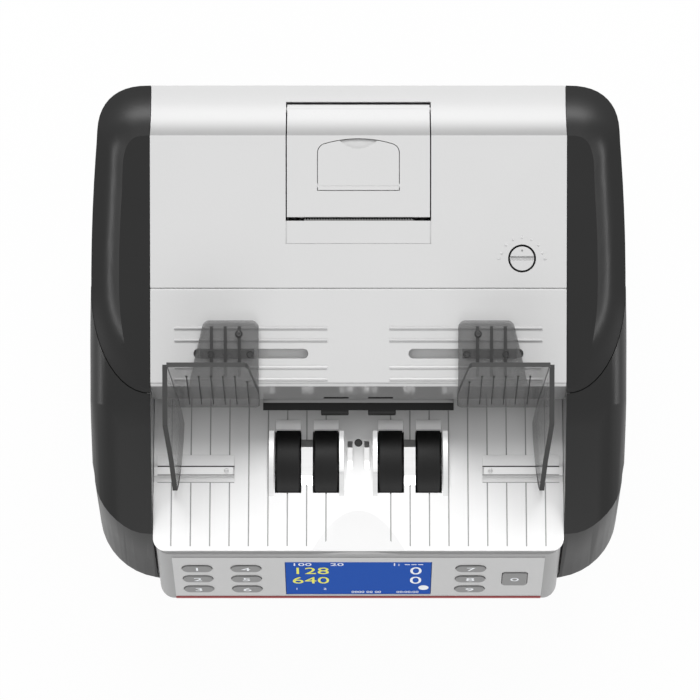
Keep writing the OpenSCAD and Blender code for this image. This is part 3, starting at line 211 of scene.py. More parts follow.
def smokyClear(name, colour, alpha, rough):
    k = smokeLook
    f = Finish(name)
    cloud = f.noise(*k["cloud"])
    scuff = f.noise(*k["scuff"])
    low, swing = k["alpha"]
    return f.feed(Base_Color=f.blend(cloud, colour, toned(colour, k["light"])),
                  Roughness=rough + scuff * k["scuffGloss"], Alpha=alpha - low + cloud * swing,
                  Normal=f.bump(cloud, *k["relief"]))


glossLook = {"cloud": (18, 3), "dark": 0.93, "gloss": (0.12, 0.06), "coat": (0.6, 0.05), "ripple": 420,
             "relief": (0.015, 0.0002)}


def glossGrey(name, colour):
    k = glossLook
    f = Finish(name)
    cloud = f.noise(*k["cloud"])
    low, swing = k["gloss"]
    weight, coatRough = k["coat"]
    relief = f.bump(f.noise(k["ripple"]), *k["relief"])
    return f.feed(Base_Color=f.blend(cloud, toned(colour, k["dark"]), colour), Roughness=low + cloud * swing,
                  Coat_Weight=weight, Coat_Roughness=coatRough, Normal=relief)


printLook = {"fine": (700, 2), "dark": 0.92, "gloss": (0.35, 0.08)}


def litPrint(name, colour, glow, spec=0.3):
    k = printLook
    f = Finish(name)
    fine = f.noise(*k["fine"])
    c = f.blend(fine, toned(colour, k["dark"]), colour)
    low, swing = k["gloss"]
    return f.feed(Base_Color=c, Roughness=low + fine * swing, Emission_Color=c, Emission_Strength=glow,
                  Specular_IOR_Level=spec)


hopperLook = {"colour": grey(0.98), "rough": 0.4, "grain": 1000, "depth": 0.06, "mottle": 0.012,
              "spec": 0.3, "metal": 0.05}
dullDeck = {"rough": 0.46, "grain": 800, "depth": 0.1, "mottle": 0.02, "spec": 0.2}
finishLooks = {
    "darkCasing": (mouldedPlastic, dict(colour=grey(0.013), rough=0.36, grain=1100, depth=0.08, mottle=0.08,
                                        spec=0.26)),
    # deckPlate: painted shade on the rear skirt, greyer in the band just behind the crease (y 111.5 to 122.5
    # mm)
    "deckPlate": (mouldedPlastic, dict(dullDeck, colour=grey(0.68), depth=0.12, metal=0.03,
                                       shade=(0.1225, 0.1115, grey(0.36)))),
    "hopperWhite": (mouldedPlastic, hopperLook),
    # hopperShaded: painted shadow of the fascia and deck on the table, greyer from y -74 mm to full at -34 mm
    # and behind
    "hopperShaded": (mouldedPlastic, dict(hopperLook, shade=(-0.074, -0.034, grey(0.62)))),
    # scoopWhite: painted shade in the finger scoop, a little greyer than the table
    "scoopWhite": (mouldedPlastic, dict(colour=grey(0.91), rough=0.4, grain=1000, depth=0.06, mottle=0.012)),
    "grooveGrey": (mouldedPlastic, dict(colour=grey(0.36), rough=0.5, grain=1000, depth=0.05)),
    "fasciaGloss": (glossGrey, dict(colour=grey(0.275))),
    "guideSmoke": (smokyClear, dict(colour=grey(0.14), alpha=0.39, rough=0.08)),
    "guideRim": (mouldedPlastic, dict(colour=grey(0.06), rough=0.55, grain=1400, depth=0.03, mottle=0.06,
                                      spec=0.12)),
    "dishPlate": (mouldedPlastic, dict(dullDeck, colour=grey(0.64))),
    "gripGrey": (mouldedPlastic, dict(dullDeck, colour=grey(0.57))),
    # ledgeGrey: plain grey of the gap floors, and painted shade on the fascia's top and the feed cover's rear
    # lines
    "ledgeGrey": (mouldedPlastic, dict(dullDeck, colour=grey(0.56))),
    "rearGrey": (mouldedPlastic, dict(colour=grey(0.2), rough=0.42, grain=800, depth=0.12, mottle=0.04)),
    "housingGrey": (mouldedPlastic, dict(colour=grey(0.365), rough=0.4, grain=1000, depth=0.08)),
    "panelFilm": (mouldedPlastic, dict(colour=grey(0.60), rough=0.34, grain=1400, depth=0.05, mottle=0.015)),
    "keyGrey": (mouldedPlastic, dict(colour=grey(0.25), rough=0.42, grain=1200, depth=0.06)),
    "displayBlue": (litPrint, dict(colour=(0.004, 0.045, 0.24, 1), glow=0.75, spec=0.05)),
    "printWhite": (litPrint, dict(colour=(0.85, 0.87, 0.9, 1), glow=0.15)),
    "printYellow": (litPrint, dict(colour=(0.80, 0.78, 0.10, 1), glow=0.15)),
    "accentRed": (mouldedPlastic, dict(colour=(0.33, 0.04, 0.04, 1), rough=0.35, grain=900, depth=0.05)),
    "blackPlastic": (mouldedPlastic, dict(colour=grey(0.012), rough=0.45, grain=900, depth=0.1, mottle=0.1)),
    "blackRubber": (rubber, dict(colour=grey(0.004), rough=0.5, spec=0.2)),
    "steel": (brushedSteel, dict(colour=grey(0.62), rough=0.3)),
    "darkSteel": (brushedSteel, dict(colour=grey(0.20), rough=0.38)),
    "blackSteel": (brushedSteel, dict(colour=grey(0.09), rough=0.42)),
    "railMetal": (brushedSteel, dict(colour=grey(0.75), rough=0.34)),
    "boardGreen": (mouldedPlastic, dict(colour=(0.012, 0.10, 0.035, 1), rough=0.4, grain=500, depth=0.1,
                                        mottle=0.15)),
}
finishes = {name: make(name, **look) for name, (make, look) in finishLooks.items()}
print("finishes made:", len(finishes))


# modelling helpers
def clearAll():
    if bpy.context.object and bpy.context.object.mode != "OBJECT":
        bpy.ops.object.mode_set(mode="OBJECT")
    bpy.ops.object.select_all(action="DESELECT")


def takeUp(obj):
    clearAll()
    obj.select_set(True)
    bpy.context.view_layer.objects.active = obj


def applyAll(obj):
    takeUp(obj)
    for m in list(obj.modifiers):
        bpy.ops.object.modifier_apply(modifier=m.name)


edgeRound = {"angle": 32, "segments": 2, "smoothMore": 8}


def softEdges(obj, width, angle=edgeRound["angle"]):
    m = obj.modifiers.new("edge", "BEVEL")
    m.width, m.segments, m.limit_method = width * mm, edgeRound["segments"], "ANGLE"
    m.angle_limit = math.radians(angle)
    m.use_clamp_overlap = True
    n = obj.modifiers.new("normals", "WEIGHTED_NORMAL")
    n.keep_sharp = True
    takeUp(obj)
    bpy.ops.object.shade_smooth_by_angle(angle=math.radians(angle + edgeRound["smoothMore"]))
    applyAll(obj)


def setFinish(obj, finish):
    obj.data.materials.clear()
    obj.data.materials.append(finishes[finish])


def settle(obj, name, body, finish, where="plain"):
    obj.name = name
    obj.data.name = name
    obj.data.transform(slopeMatrix(where) @ obj.matrix_world)
    obj.matrix_world = Matrix.Identity(4)
    setFinish(obj, finish)
    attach(obj, body)


bodyOf = {n: b for b, members in frame["record"]["behaviour"]["bodies"].items() for n in members}
meshClean = {"merge": 2e-6, "flat": 0.6}


# a finer copy of a CAD node: merged, planar faces joined, edges rounded
def dress(node, finish, edge):
    src = nodes[node]
    obj = src.copy()
    obj.data = src.data.copy()
    bpy.context.scene.collection.objects.link(obj)
    obj.parent = None
    del obj["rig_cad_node"]
    takeUp(obj)
    bpy.ops.object.mode_set(mode="EDIT")
    bpy.ops.mesh.select_all(action="SELECT")
    bpy.ops.mesh.remove_doubles(threshold=meshClean["merge"])
    bpy.ops.mesh.dissolve_limited(angle_limit=math.radians(meshClean["flat"]))
    bpy.ops.object.mode_set(mode="OBJECT")
    softEdges(obj, edge)
    settle(obj, node + "Skin", bodyOf[node], finish)
    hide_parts(node)
    return obj


# bodies, covers and trim that get rounded edges: finish and edge radius in mm
dressed = {
    "base_pan": ("darkCasing", 0.5), "feet": ("blackRubber", 1.0),
    "left_lower_cover": ("darkCasing", 0.4), "right_lower_cover": ("darkCasing", 0.4),
    "left_upper_cover": ("darkCasing", 0.5), "right_upper_cover": ("darkCasing", 0.5),
    "top_cover": ("deckPlate", 0.3), "feed_cover": ("deckPlate", 0.3), "rear_cover": ("rearGrey", 0.4),
    "fascia_strip": ("fasciaGloss", 0.3), "hopper_table": ("hopperShaded", 0.2),
    "left_rail": ("railMetal", 0.2), "right_rail": ("railMetal", 0.2), "hopper_sensor": ("blackPlastic", 0.3),
    "left_guide": ("guideSmoke", 0.4), "right_guide": ("guideSmoke", 0.4),
    "left_slider": ("blackPlastic", 0.3), "right_slider": ("blackPlastic", 0.3),
    "front_housing": ("housingGrey", 0.6), "control_panel": ("panelFilm", 0.15),
    "display_window": ("displayBlue", 0.15), "printer_tub": ("deckPlate", 0.25),
    "printer_lid": ("deckPlate", 0.25), "lid_latch": ("deckPlate", 0.25), "thickness_knob": ("deckPlate", 0.3),
    "pickup_rollers": ("blackRubber", 0.6), "feed_rollers": ("blackRubber", 0.6),
    "retard_roller": ("blackRubber", 0.6), "stacker_tray": ("darkCasing", 0.5),
    "stacker_plate": ("deckPlate", 0.4), "stacker_wheels": ("blackPlastic", 0.4),
    "power_inlet": ("blackPlastic", 0.4), "power_rocker": ("blackPlastic", 0.4),
    "platen_roller": ("blackRubber", 0.3),
}
for key in [n for n in nodes if "_key" in n]:
    dressed[key] = ("keyGrey", 0.5)
skins = {n: dress(n, f, e) for n, (f, e) in dressed.items()}
print("skins made:", len(skins))

# inner parts stay as the solids are, with their own finishes
inner = {
    "left_side_plate": "steel", "right_side_plate": "steel", "display_board": "boardGreen",
    "print_head": "blackPlastic", "tear_bar": "darkSteel", "pickup_shaft": "darkSteel",
    "feed_shaft": "darkSteel", "retard_bracket": "steel", "transport_shaft": "darkSteel",
    "transport_drums": "housingGrey", "note_guide": "steel", "image_sensor": "blackPlastic",
    "stacker_shaft": "darkSteel", "drive_motor": "darkSteel", "motor_pulley": "steel",
    "drive_belts": "blackRubber",
}
innerSmooth = 30
for n, f in inner.items():
    setFinish(nodes[n], f)
    takeUp(nodes[n])
    bpy.ops.object.shade_smooth_by_angle(angle=math.radians(innerSmooth))


# small pieces that the solids leave to the scene
def startMesh(kind, **settings):
    clearAll()
    getattr(bpy.ops.mesh, "primitive_" + kind + "_add")(**settings)
    bpy.ops.object.transform_apply(location=False, rotation=True, scale=True)
    return bpy.context.object


def pickFaces(obj, test):
    bpy.ops.object.mode_set(mode="EDIT")
    bpy.ops.mesh.select_mode(type="FACE")
    bpy.ops.mesh.select_all(action="DESELECT")
    bpy.ops.object.mode_set(mode="OBJECT")
    for p in obj.data.polygons:
        p.select = bool(test(p))
    bpy.ops.object.mode_set(mode="EDIT")


def facesUp(p):
    return p.normal.z > 0.9


def box(size, at):
    return startMesh("cube", size=1, location=Vector(at) * mm, scale=Vector(size) * mm)


def disc(radius, depth, at, vertices, **settings):
    return startMesh("cylinder", vertices=vertices, radius=radius * mm, depth=depth * mm,
                     location=Vector(at) * mm, **settings)


def ringOf(radius, wire, at, segments):
    around, across = segments
    return startMesh("torus", major_segments=around, minor_segments=across, major_radius=radius * mm,
                     minor_radius=wire * mm, location=Vector(at) * mm)


barRound = {"segments": 2, "smooth": 40}


def bar(size, at, edge):  # rounded bar
    obj = box(size, at)
    bpy.ops.object.mode_set(mode="EDIT")
    bpy.ops.mesh.select_all(action="SELECT")
    bpy.ops.mesh.bevel(offset=edge * mm, segments=barRound["segments"], affect="EDGES")
    bpy.ops.object.mode_set(mode="OBJECT")
    bpy.ops.object.shade_smooth_by_angle(angle=math.radians(barRound["smooth"]))
    return obj


# dome and edge in shares of the radius, the drive in shares of radius and height
screwShape = {"vertices": 32, "dome": (0.16, 0.18), "drive": (0.36, 0.6), "edge": (0.08, 28)}


def screw(radius, height, at):  # round head with a sunk drive
    k = screwShape
    obj = disc(radius, height, at, k["vertices"])
    pickFaces(obj, facesUp)
    bpy.ops.mesh.inset(thickness=radius * k["dome"][0] * mm)
    bpy.ops.transform.translate(value=(0, 0, radius * k["dome"][1] * mm))
    bpy.ops.mesh.inset(thickness=radius * k["drive"][0] * mm)
    bpy.ops.mesh.extrude_region_move(TRANSFORM_OT_translate={"value": (0, 0, -height * k["drive"][1] * mm)})
    bpy.ops.object.mode_set(mode="OBJECT")
    softEdges(obj, radius * k["edge"][0], k["edge"][1])
    return obj


def figures(text, height, at, wide, lift=0.12):  # generic figures as a thin print
    clearAll()
    bpy.ops.object.text_add(location=Vector(at) * mm)
    obj = bpy.context.object
    obj.data.body = text
    obj.data.size = height * mm
    obj.data.align_x, obj.data.align_y = "CENTER", "CENTER"
    obj.data.extrude = lift * mm
    bpy.ops.object.convert(target="MESH")
    obj = bpy.context.object
    obj.data.transform(Matrix.Diagonal((wide, 1, 1, 1)))
    return obj


def joined(objs):
    clearAll()
    for o in objs:
        o.select_set(True)
    bpy.context.view_layer.objects.active = objs[0]
    bpy.ops.object.transform_apply(location=True, rotation=True, scale=True)
    bpy.ops.object.join()
    return bpy.context.object


def paintFaces(obj, finish, test):  # a second finish on the faces that pass the test
    obj.data.materials.append(finishes[finish])
    for p in obj.data.polygons:
        if test(p):
            p.material_index = len(obj.data.materials) - 1


def meanWidth(obj, p):  # width of a long face, in metres
    pts = [obj.data.vertices[i].co for i in p.vertices]
    return p.area / max((pts[i] - pts[i - 1]).length for i in range(len(pts)))


def between(v, span):  # span in mm
    return span[0] * mm < v < span[1] * mm


sides = {"left": -1, "right": 1}

# channels that close the guide slots from below
slotTray = {"midX": 59.2, "y": -7.6, "size": (71, 14, 3.7), "top": -2.55, "wall": 0.8, "edge": 0.2}
for side, s in sides.items():
    midZ = slotTray["top"] - slotTray["size"][2] / 2
    tray = box(slotTray["size"], deckSpot(s * slotTray["midX"], slotTray["y"], midZ))
    pickFaces(tray, facesUp)
    bpy.ops.mesh.delete(type="FACE")
    bpy.ops.object.mode_set(mode="OBJECT")
    wall = tray.modifiers.new("wall", "SOLIDIFY")
    wall.thickness, wall.offset = slotTray["wall"] * mm, -1
    applyAll(tray)
    softEdges(tray, slotTray["edge"])
    settle(tray, side + "SlotTray", "machine", "hopperWhite", "deck")

# guides: ribs on the tab and on the wall, screws, pins, darker upper rims
guideTab = {"top": 3.6, "ribX": (65.4, 73.1, 80.7), "ribY": (7.5, -20.0), "rib": (1.7, 0.5), "ribLift": 0.05,
            "ribEdge": 0.18, "screw": (65.7, 3.3), "screwSize": (1.5, 0.9), "screwLift": 0.4, "screwRing": 1.7,
            "pinX": (59.5, 81.0), "pinY": -7.6, "pinRing": 1.6, "ringWire": 0.38, "ringLift": 0.1,
            "ringCuts": (48, 10)}
guideWall = {"ribX": (93.4, 86.8, 80.2, 73.7, 67.2, 60.6), "ribV": (5.0, 42.3), "lastDrop": 7.3, "face": 1.45,
             "rib": (0.6, 0.5), "ribEdge": 0.15, "dot": (1.1, 2.0, 0.6), "dotEdge": 0.25}
guideRims = {"wide": 3.2, "up": 0.5, "side": 0.8, "front": -0.5, "frontUp": 0.05}


def isRim(skin, p):
    k, n = guideRims, p.normal
    upper = n.z > k["up"] or abs(n.x) > k["side"] or (n.y < k["front"] and n.z > k["frontUp"])
    return upper and meanWidth(skin, p) < k["wide"] * mm


for side, s in sides.items():
    body = side + "_guide_unit"
    k = guideTab
    rear, front = [deckSpot(0, y)[1] for y in k["ribY"]]
    wide, thick = k["rib"]
    ribs = [bar((wide, rear - front, thick), (s * x, (rear + front) / 2, k["top"] + k["ribLift"]), k["ribEdge"])
            for x in k["ribX"]]
    settle(joined(ribs), side + "TabRibs", body, "guideRim", "deck")
    w = guideWall
    wide, thick = w["rib"]
    lines = []
    for x in w["ribX"]:
        low, high = w["ribV"]
        high -= w["lastDrop"] if x == w["ribX"][-1] else 0
        lines.append(bar((wide, high - low, thick), (s * x, (low + high) / 2, w["face"]), w["ribEdge"]))
        lines.append(bar(w["dot"], (s * x, high, w["face"]), w["dotEdge"]))
    settle(joined(lines), side + "WallRibs", body, "blackPlastic", "wall")
    x, y = k["screw"]
    head = screw(*k["screwSize"], deckSpot(s * x, y, k["top"] + k["screwLift"]))
    settle(head, side + "TabScrew", body, "blackSteel", "deck")
    spots = [(x, y, k["screwRing"])] + [(v, k["pinY"], k["pinRing"]) for v in k["pinX"]]
    pins = [ringOf(radius, k["ringWire"], deckSpot(s * px, py, k["top"] + k["ringLift"]), k["ringCuts"])
            for px, py, radius in spots]
    settle(joined(pins), side + "TabPins", body, "blackPlastic", "deck")
    skin = skins[side + "_guide"]
    paintFaces(skin, "guideRim", lambda p: isRim(skin, p))

# the grooves of the table get a painted shade of grey, its guard bars show as metal, its finger scoop a
# slightly greyer painted shade
tableFaces = {"barLift": 0.15, "barHalf": 60, "scoopV": 30, "scoopHalf": 27, "scoopLean": (0.9, 0.99995),
              "grooveZ": (-1.0, -0.4), "grooveFlat": 0.999, "grooveWide": 1.2}
table = skins["hopper_table"]
intoTable = slopeMatrix("table").inverted()
turnTable = intoTable.to_3x3()


def isGroove(p):
    k = tableFaces
    flat = (turnTable @ p.normal).z > k["grooveFlat"]
    sunk = between((intoTable @ p.center).z, k["grooveZ"])
    return flat and sunk and meanWidth(table, p) < k["grooveWide"] * mm


def isGuardBar(p):
    c = intoTable @ p.center
    return c.z > tableFaces["barLift"] * mm and abs(c.x) < tableFaces["barHalf"] * mm


def isScoop(p):
    k, c = tableFaces, intoTable @ p.center
    low, high = k["scoopLean"]
    inside = c.y < k["scoopV"] * mm and abs(c.x) < k["scoopHalf"] * mm
    return inside and low < (turnTable @ p.normal).z < high and not isGuardBar(p)


paintFaces(table, "grooveGrey", isGroove)
paintFaces(table, "railMetal", isGuardBar)
paintFaces(table, "scoopWhite", isScoop)

# painted shade, greyer tones on the fascia's top edge, the latch's finger dish, the two rear lines of the feed
# cover and the floor of the knob's groove (heights over the deck in mm)
shadeFaces = {"ledgeUp": 0.75, "flat": 0.99, "dishZ": (-1.4, -0.8), "dishArea": 20, "lineLift": 0.03,
             "lineRearY": -4, "grooveZ": (-1.3, -0.9)}
intoDeck = slopeMatrix("deck").inverted()
turnDeck = intoDeck.to_3x3()


def isFloor(p, span):  # lies flat to the deck within these heights
    return between((intoDeck @ p.center).z, span) and (turnDeck @ p.normal).z > shadeFaces["flat"]


def isDish(p):
    return isFloor(p, shadeFaces["dishZ"]) and p.area > shadeFaces["dishArea"] * mm * mm


def isRearLine(p):
    return (intoDeck @ p.center).z > shadeFaces["lineLift"] * mm and p.center.y > shadeFaces["lineRearY"] * mm


paintFaces(skins["fascia_strip"], "ledgeGrey", lambda p: p.normal.z > shadeFaces["ledgeUp"])
paintFaces(skins["lid_latch"], "dishPlate", isDish)
paintFaces(skins["feed_cover"], "ledgeGrey", isRearLine)
paintFaces(skins["thickness_knob"], "gripGrey", lambda p: isFloor(p, shadeFaces["grooveZ"]))

# lip, dark strip and hold-down rollers that show under the fascia (the black strip is a wiper strip and also
# painted shade for the feed throat)
throat = {"low": 195.62, "front": -31.2, "half": 53, "lip": (3.5, 0.45), "lipAhead": 2.0, "lipLift": 0.42,
          "lipEdge": 0.12, "strip": (8.0, 0.4), "stripAhead": 6.2, "stripZ": 193.25, "stripEdge": 0.1,
          "web": (1.2, 2.5), "webBack": 0.95, "webDown": 1.2, "rollerX": 13.1, "roller": (3.2, 15.4),
          "rollerAhead": 5.6, "rollerEdge": 0.5, "rollerCuts": 40}
length, front, stripZ = 2 * throat["half"], throat["front"], throat["stripZ"]
wide, thick = throat["lip"]
lip = bar((length, wide, thick), (0, front - throat["lipAhead"] + wide / 2, stripZ + throat["lipLift"]),
          throat["lipEdge"])
settle(lip, "throatLip", "machine", "fasciaGloss")
wide, thick = throat["strip"]
strips = [bar((length, wide, thick), (0, front - throat["stripAhead"] + wide / 2, stripZ), throat["stripEdge"]),
          bar((length, *throat["web"]), (0, front + throat["webBack"], throat["low"] - throat["webDown"]),
              throat["stripEdge"])]
settle(joined(strips), "throatStrip", "machine", "blackRubber")
rolls = []
for s in sides.values():
    radius, width = throat["roller"]
    roll = disc(radius, width, (s * throat["rollerX"], front - throat["rollerAhead"], stripZ - radius),
                throat["rollerCuts"], rotation=(0, math.radians(90), 0))
    softEdges(roll, throat["rollerEdge"])
    rolls.append(roll)
settle(joined(rolls), "holdDownRollers", "machine", "blackRubber")

# pale sheets in the unshaded white: painted light where lit ramps show behind the pick-up rollers and the
# rails, with the dark edges of the rails
# (edges: place along the table, width, finish)
sheets = {"rollerX": (-39.3, -18.1, 18.1, 39.3), "rollerWide": 14.0, "rollerV": (68.4, 73.8),
          "railX": (69.4, 112.4), "railV": (47.8, 53.8), "thick": 0.2, "lift": 0.02, "round": 0.05,
          "edgeThick": 0.22, "edgeLift": 0.04, "edgeRound": 0.06,
          "edges": ((47.45, 0.55, "blackPlastic"), (42.7, 0.6, "grooveGrey"), (38.4, 0.4, "grooveGrey"))}


def sheet(x, wide, span):
    low, high = span
    return bar((wide, high - low, sheets["thick"]), (x, (low + high) / 2, sheets["lift"]), sheets["round"])


x0, x1 = sheets["railX"]
pale = [sheet(x, sheets["rollerWide"], sheets["rollerV"]) for x in sheets["rollerX"]]
pale += [sheet(s * (x0 + x1) / 2, x1 - x0, sheets["railV"]) for s in sides.values()]
settle(joined(pale), "tableLitSheets", "machine", "hopperWhite", "table")
# the rail edges are painted shade lines, dark and grey, along the rails' recess
for i, (v, wide, finish) in enumerate(sheets["edges"]):
    pair = [bar((x1 - x0, wide, sheets["edgeThick"]), (s * (x0 + x1) / 2, v, sheets["edgeLift"]),
                sheets["edgeRound"]) for s in sides.values()]
    settle(joined(pair), "railEdge" + str(i), "machine", finish, "table")

# rail screws
railScrew = {"x": 73.8, "v": 44.95, "z": 0.1, "size": (1.3, 1.0)}
for side, s in sides.items():
    head = screw(*railScrew["size"], (s * railScrew["x"], railScrew["v"], railScrew["z"]))
    settle(head, side + "RailScrew", "machine", "steel", "table")

# grey floors in the gaps round the printer's bezel and behind the feed cover (joint: half length, y, gap)
seam = {"bezelX": 39.65, "bezelY": (52.55, 65.0), "sideGap": 0.7, "frontGap": 0.3, "depth": 0.35, "thick": 0.4,
        "joint": (114.4, 28.2, 0.6), "jointDown": 0.3, "edge": 0.05}
front, rear = [deckSpot(0, y)[1] for y in seam["bezelY"]]
floors = [bar((2 * seam["bezelX"], seam["frontGap"], seam["thick"]), (0, front, -seam["depth"]), seam["edge"])]
for s in sides.values():
    floors.append(bar((seam["sideGap"], rear - front, seam["thick"]),
                      (s * seam["bezelX"], (front + rear) / 2, -seam["depth"]), seam["edge"]))
half, y, gap = seam["joint"]
floors.append(bar((2 * half, gap, seam["thick"]), deckSpot(0, y, -seam["depth"] - seam["jointDown"]),
                  seam["edge"]))
settle(joined(floors), "deckSeams", "machine", "ledgeGrey", "deck")

# red accent line under the panel film
accent = {"half": 104.2, "down": 54.9, "wide": 2.2, "thick": 1.0, "lift": 0.35, "edge": 0.2}
accentBar = bar((2 * accent["half"], accent["wide"], accent["thick"]), (0, -accent["down"], accent["lift"]),
                accent["edge"])
settle(accentBar, "accentLine", "machine", "accentRed", "panel")

# display print: plain figures only (text, height, x, distance from the window's top, stretch)
panelMid, windowHalf = 31.2, 20.35
displayPrint = {
    "top": panelMid - windowHalf, "lift": 0.22,
    "yellow": (("128", 11.5, -27, 11.2, 1.25), ("640", 11.5, -27, 23.2, 1.25)),
    "white": (("0", 12.5, 32.4, 11.2, 1.15), ("0", 12.5, 32.4, 23.2, 1.15), ("100", 4.6, -32, 2.9, 1.7),
              ("20", 4.6, -12, 2.9, 1.7), ("1:", 4.6, 21, 2.9, 1.5), ("0000 00 00", 3.4, 4.5, 38.0, 1.1),
              ("00:00:00", 3.4, 28, 38.0, 1.1), ("1", 3.2, -35, 34.0, 1.2), ("2", 3.2, -19, 34.0, 1.2)),
    "dashX": (27.5, 31.2, 34.9), "dashDown": 2.9, "dash": (2.9, 0.7, 0.2),
    "badge": (37.0, 32.3), "badgeSize": (2.9, 0.2), "badgeCuts": 48, "edge": 0.05,
}


def onDisplay(x, down):
    return (x, -displayPrint["top"] - down, displayPrint["lift"])


def printed(rows):
    return [figures(text, height, onDisplay(x, down), wide) for text, height, x, down, wide in rows]


yellow = printed(displayPrint["yellow"])
settle(joined(yellow), "displayTotals", "machine", "printYellow", "panel")
white = printed(displayPrint["white"])
for x in displayPrint["dashX"]:
    white.append(bar(displayPrint["dash"], onDisplay(x, displayPrint["dashDown"]), displayPrint["edge"]))
settle(joined(white), "displayFigures", "machine", "printWhite", "panel")
badge = disc(*displayPrint["badgeSize"], onDisplay(*displayPrint["badge"]), displayPrint["badgeCuts"])
softEdges(badge, displayPrint["edge"])
settle(badge, "displayBadge", "machine", "printWhite", "panel")

# key figures (columns: keys from the top down, x, figures)
keyPrint = {
    "columns": ((("left_key_1", "left_key_2", "left_key_3"), -90.7, "123"),
                (("left_key_4", "left_key_5", "left_key_6"), -63.2, "456"),
                (("right_key_1", "right_key_2", "right_key_3"), 63.2, "789")),
    "reset": ("reset_key", 88.3, "0"), "pitch": 13, "top": 1.12, "height": 5.4, "wide": 2.0, "lift": 0.06,
}


# the key figures take the display's glowing print, a painted glow on the keys
def keyFigure(key, x, down, text):
    k = keyPrint
    figure = figures(text, k["height"], (x, -panelMid - down, k["top"]), k["wide"], k["lift"])
    settle(figure, key + "Figure", key + "_body", "printWhite", "panel")


for keys, x, texts in keyPrint["columns"]:
    for row, (key, text) in enumerate(zip(keys, texts)):
        keyFigure(key, x, (row - 1) * keyPrint["pitch"], text)
key, x, text = keyPrint["reset"]
keyFigure(key, x, 0, text)

# thickness knob: scale of raised dots with a minus and a plus, dark ring in the gap, pip on the knob
knobTrim = {"x": 90, "y": 44.4, "dots": 7, "dotStep": 25, "dotRing": 11.6, "dot": (0.6, 0.5), "dotZ": 0.1,
            "dotEdge": 0.2, "signX": 12.6, "sign": (1.8, 0.5, 0.4), "signZ": 0.08, "signEdge": 0.12,
            "ring": (7.15, 0.4), "ringZ": -1.3, "ringCuts": (64, 12), "pip": (0.5, 0.4), "pipV": 4.4,
            "pipZ": -0.25, "pipEdge": 0.12, "cuts": 20}
k = knobTrim
cx, cy = deckSpot(k["x"], k["y"])[:2]
marks = []
for i in range(k["dots"]):
    a = math.radians(90 + (i - k["dots"] // 2) * k["dotStep"])
    spot = (cx + k["dotRing"] * math.cos(a), cy + k["dotRing"] * math.sin(a), k["dotZ"])
    dot = disc(*k["dot"], spot, k["cuts"])
    softEdges(dot, k["dotEdge"])
    marks.append(dot)
stroke = k["sign"]
upright = (stroke[1], stroke[0], stroke[2])
for x, size in ((-k["signX"], stroke), (k["signX"], stroke), (k["signX"], upright)):
    marks.append(bar(size, (cx + x, cy, k["signZ"]), k["signEdge"]))
settle(joined(marks), "knobScale", "machine", "deckPlate", "deck")
ring = ringOf(*k["ring"], (cx, cy, k["ringZ"]), k["ringCuts"])
settle(ring, "knobRing", "machine", "blackRubber", "deck")
pip = disc(*k["pip"], (cx, cy + k["pipV"], k["pipZ"]), k["cuts"])
softEdges(pip, k["pipEdge"])
settle(pip, "knobPip", "knob", "keyGrey", "deck")

# case screws at the rear
caseScrews = {"rear": [(-104, 200), (104, 200), (-104, 16), (104, 16), (0, 200), (0, 16)], "size": (2.6, 1.6),
              "y": 139.1}
rear = []
for x, z in caseScrews["rear"]:
    head = screw(*caseScrews["size"], (0, 0, 0))
    spot = Matrix.Translation(Vector((x, caseScrews["y"], z)) * mm)
    head.data.transform(spot @ Matrix.Rotation(math.radians(-90), 4, "X"))
    rear.append(head)
settle(joined(rear), "rearScrews", "machine", "darkSteel")
print("small pieces made")

# floor and sky: plain white to the eye, to mirrors and to glass, with the shadow kept
backdrop = {"size": 14, "drop": 0.0002, "paint": grey(0.86), "rough": 0.8, "white": grey(1), "glow": 1.0,
            "glowShare": 0.96, "ambient": 0.32}


def backdropRays(tree):
    path = tree.nodes.new("ShaderNodeLightPath")
    eye, mirror, glass = [Val(tree, path.outputs["Is " + ray + " Ray"])
                          for ray in ("Camera", "Glossy", "Transmission")]
    return eye + mirror + glass


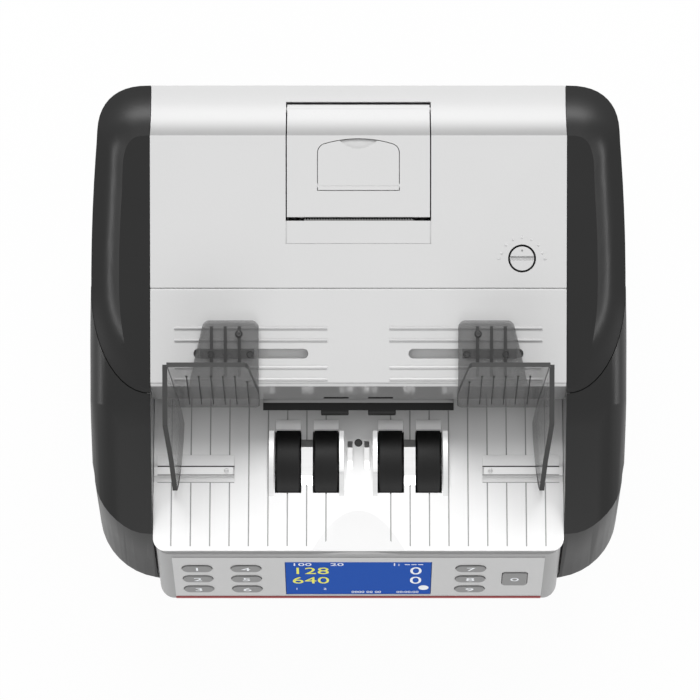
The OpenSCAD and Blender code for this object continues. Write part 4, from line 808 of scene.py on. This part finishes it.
clearAll()
bpy.ops.mesh.primitive_plane_add(size=backdrop["size"], location=(0, 0, -backdrop["drop"]))
floor = bpy.context.object
floor.name = "floor"
paint = Finish("floorPaint")
floor.data.materials.append(paint.feed(Base_Color=backdrop["paint"], Roughness=backdrop["rough"]))
glow = paint.node("ShaderNodeEmission", {}, Color=backdrop["white"], Strength=backdrop["glow"])
plain = Val(paint.tree, paint.shader.outputs[0])
share = backdropRays(paint.tree) * backdrop["glowShare"]
mixed = paint.node("ShaderNodeMixShader", {}, i0=share, i1=plain, i2=glow)
paint.plug(paint.tree.nodes["Material Output"].inputs[0], mixed)

world = bpy.data.worlds.new("studio")
bpy.context.scene.world = world
world.use_nodes = True
sky = world.node_tree
back = sky.nodes["Background"]
back.inputs[0].default_value = backdrop["white"]
strength = backdropRays(sky) * (1 - backdrop["ambient"]) + backdrop["ambient"]
sky.links.new(strength.socket, back.inputs[1])

# soft boxes: a wide one over the rear, a weak one in front and one on each side
softBoxes = {
    "rearBox": {"at": (0, 1.95, 2.05), "aim": (0, 0, 0.2), "size": (2.2, 0.9), "watts": 63},
    "frontBox": {"at": (0, -1.9, 1.2), "aim": (0, 0, 0.2), "size": (1.6, 0.8), "watts": 16},
    "leftBox": {"at": (-2.0, 0.1, 0.5), "aim": (0, 0, 0.15), "size": (1.0, 0.4), "watts": 9},
    "rightBox": {"at": (2.0, 0.1, 0.5), "aim": (0, 0, 0.15), "size": (1.0, 0.4), "watts": 9},
}


def standing(name, data, at, look):
    holder = bpy.data.objects.new(name, data)
    bpy.context.scene.collection.objects.link(holder)
    holder.location = at
    holder.rotation_mode = "QUATERNION"
    holder.rotation_quaternion = Vector(look).to_track_quat("-Z", "Y")
    return holder


for name, light in softBoxes.items():
    lamp = bpy.data.lights.new(name, "AREA")
    lamp.shape = "RECTANGLE"
    lamp.size, lamp.size_y = light["size"]
    lamp.energy = light["watts"]
    standing(name, lamp, light["at"], Vector(light["aim"]) - Vector(light["at"]))

# camera of the photo
photoView = {"at": (0, -0.154, 1.91), "look": (0, 0.0872, -0.9962), "lens": 159.1, "sensor": 36,
             "shiftX": -0.012}
cam = bpy.data.cameras.new("photoCamera")
cam.lens, cam.sensor_width, cam.shift_x = photoView["lens"], photoView["sensor"], photoView["shiftX"]
bpy.context.scene.camera = standing("photoCamera", cam, photoView["at"], photoView["look"])
bpy.context.scene.view_settings.view_transform = "Standard"
clearAll()

print("scene ready")
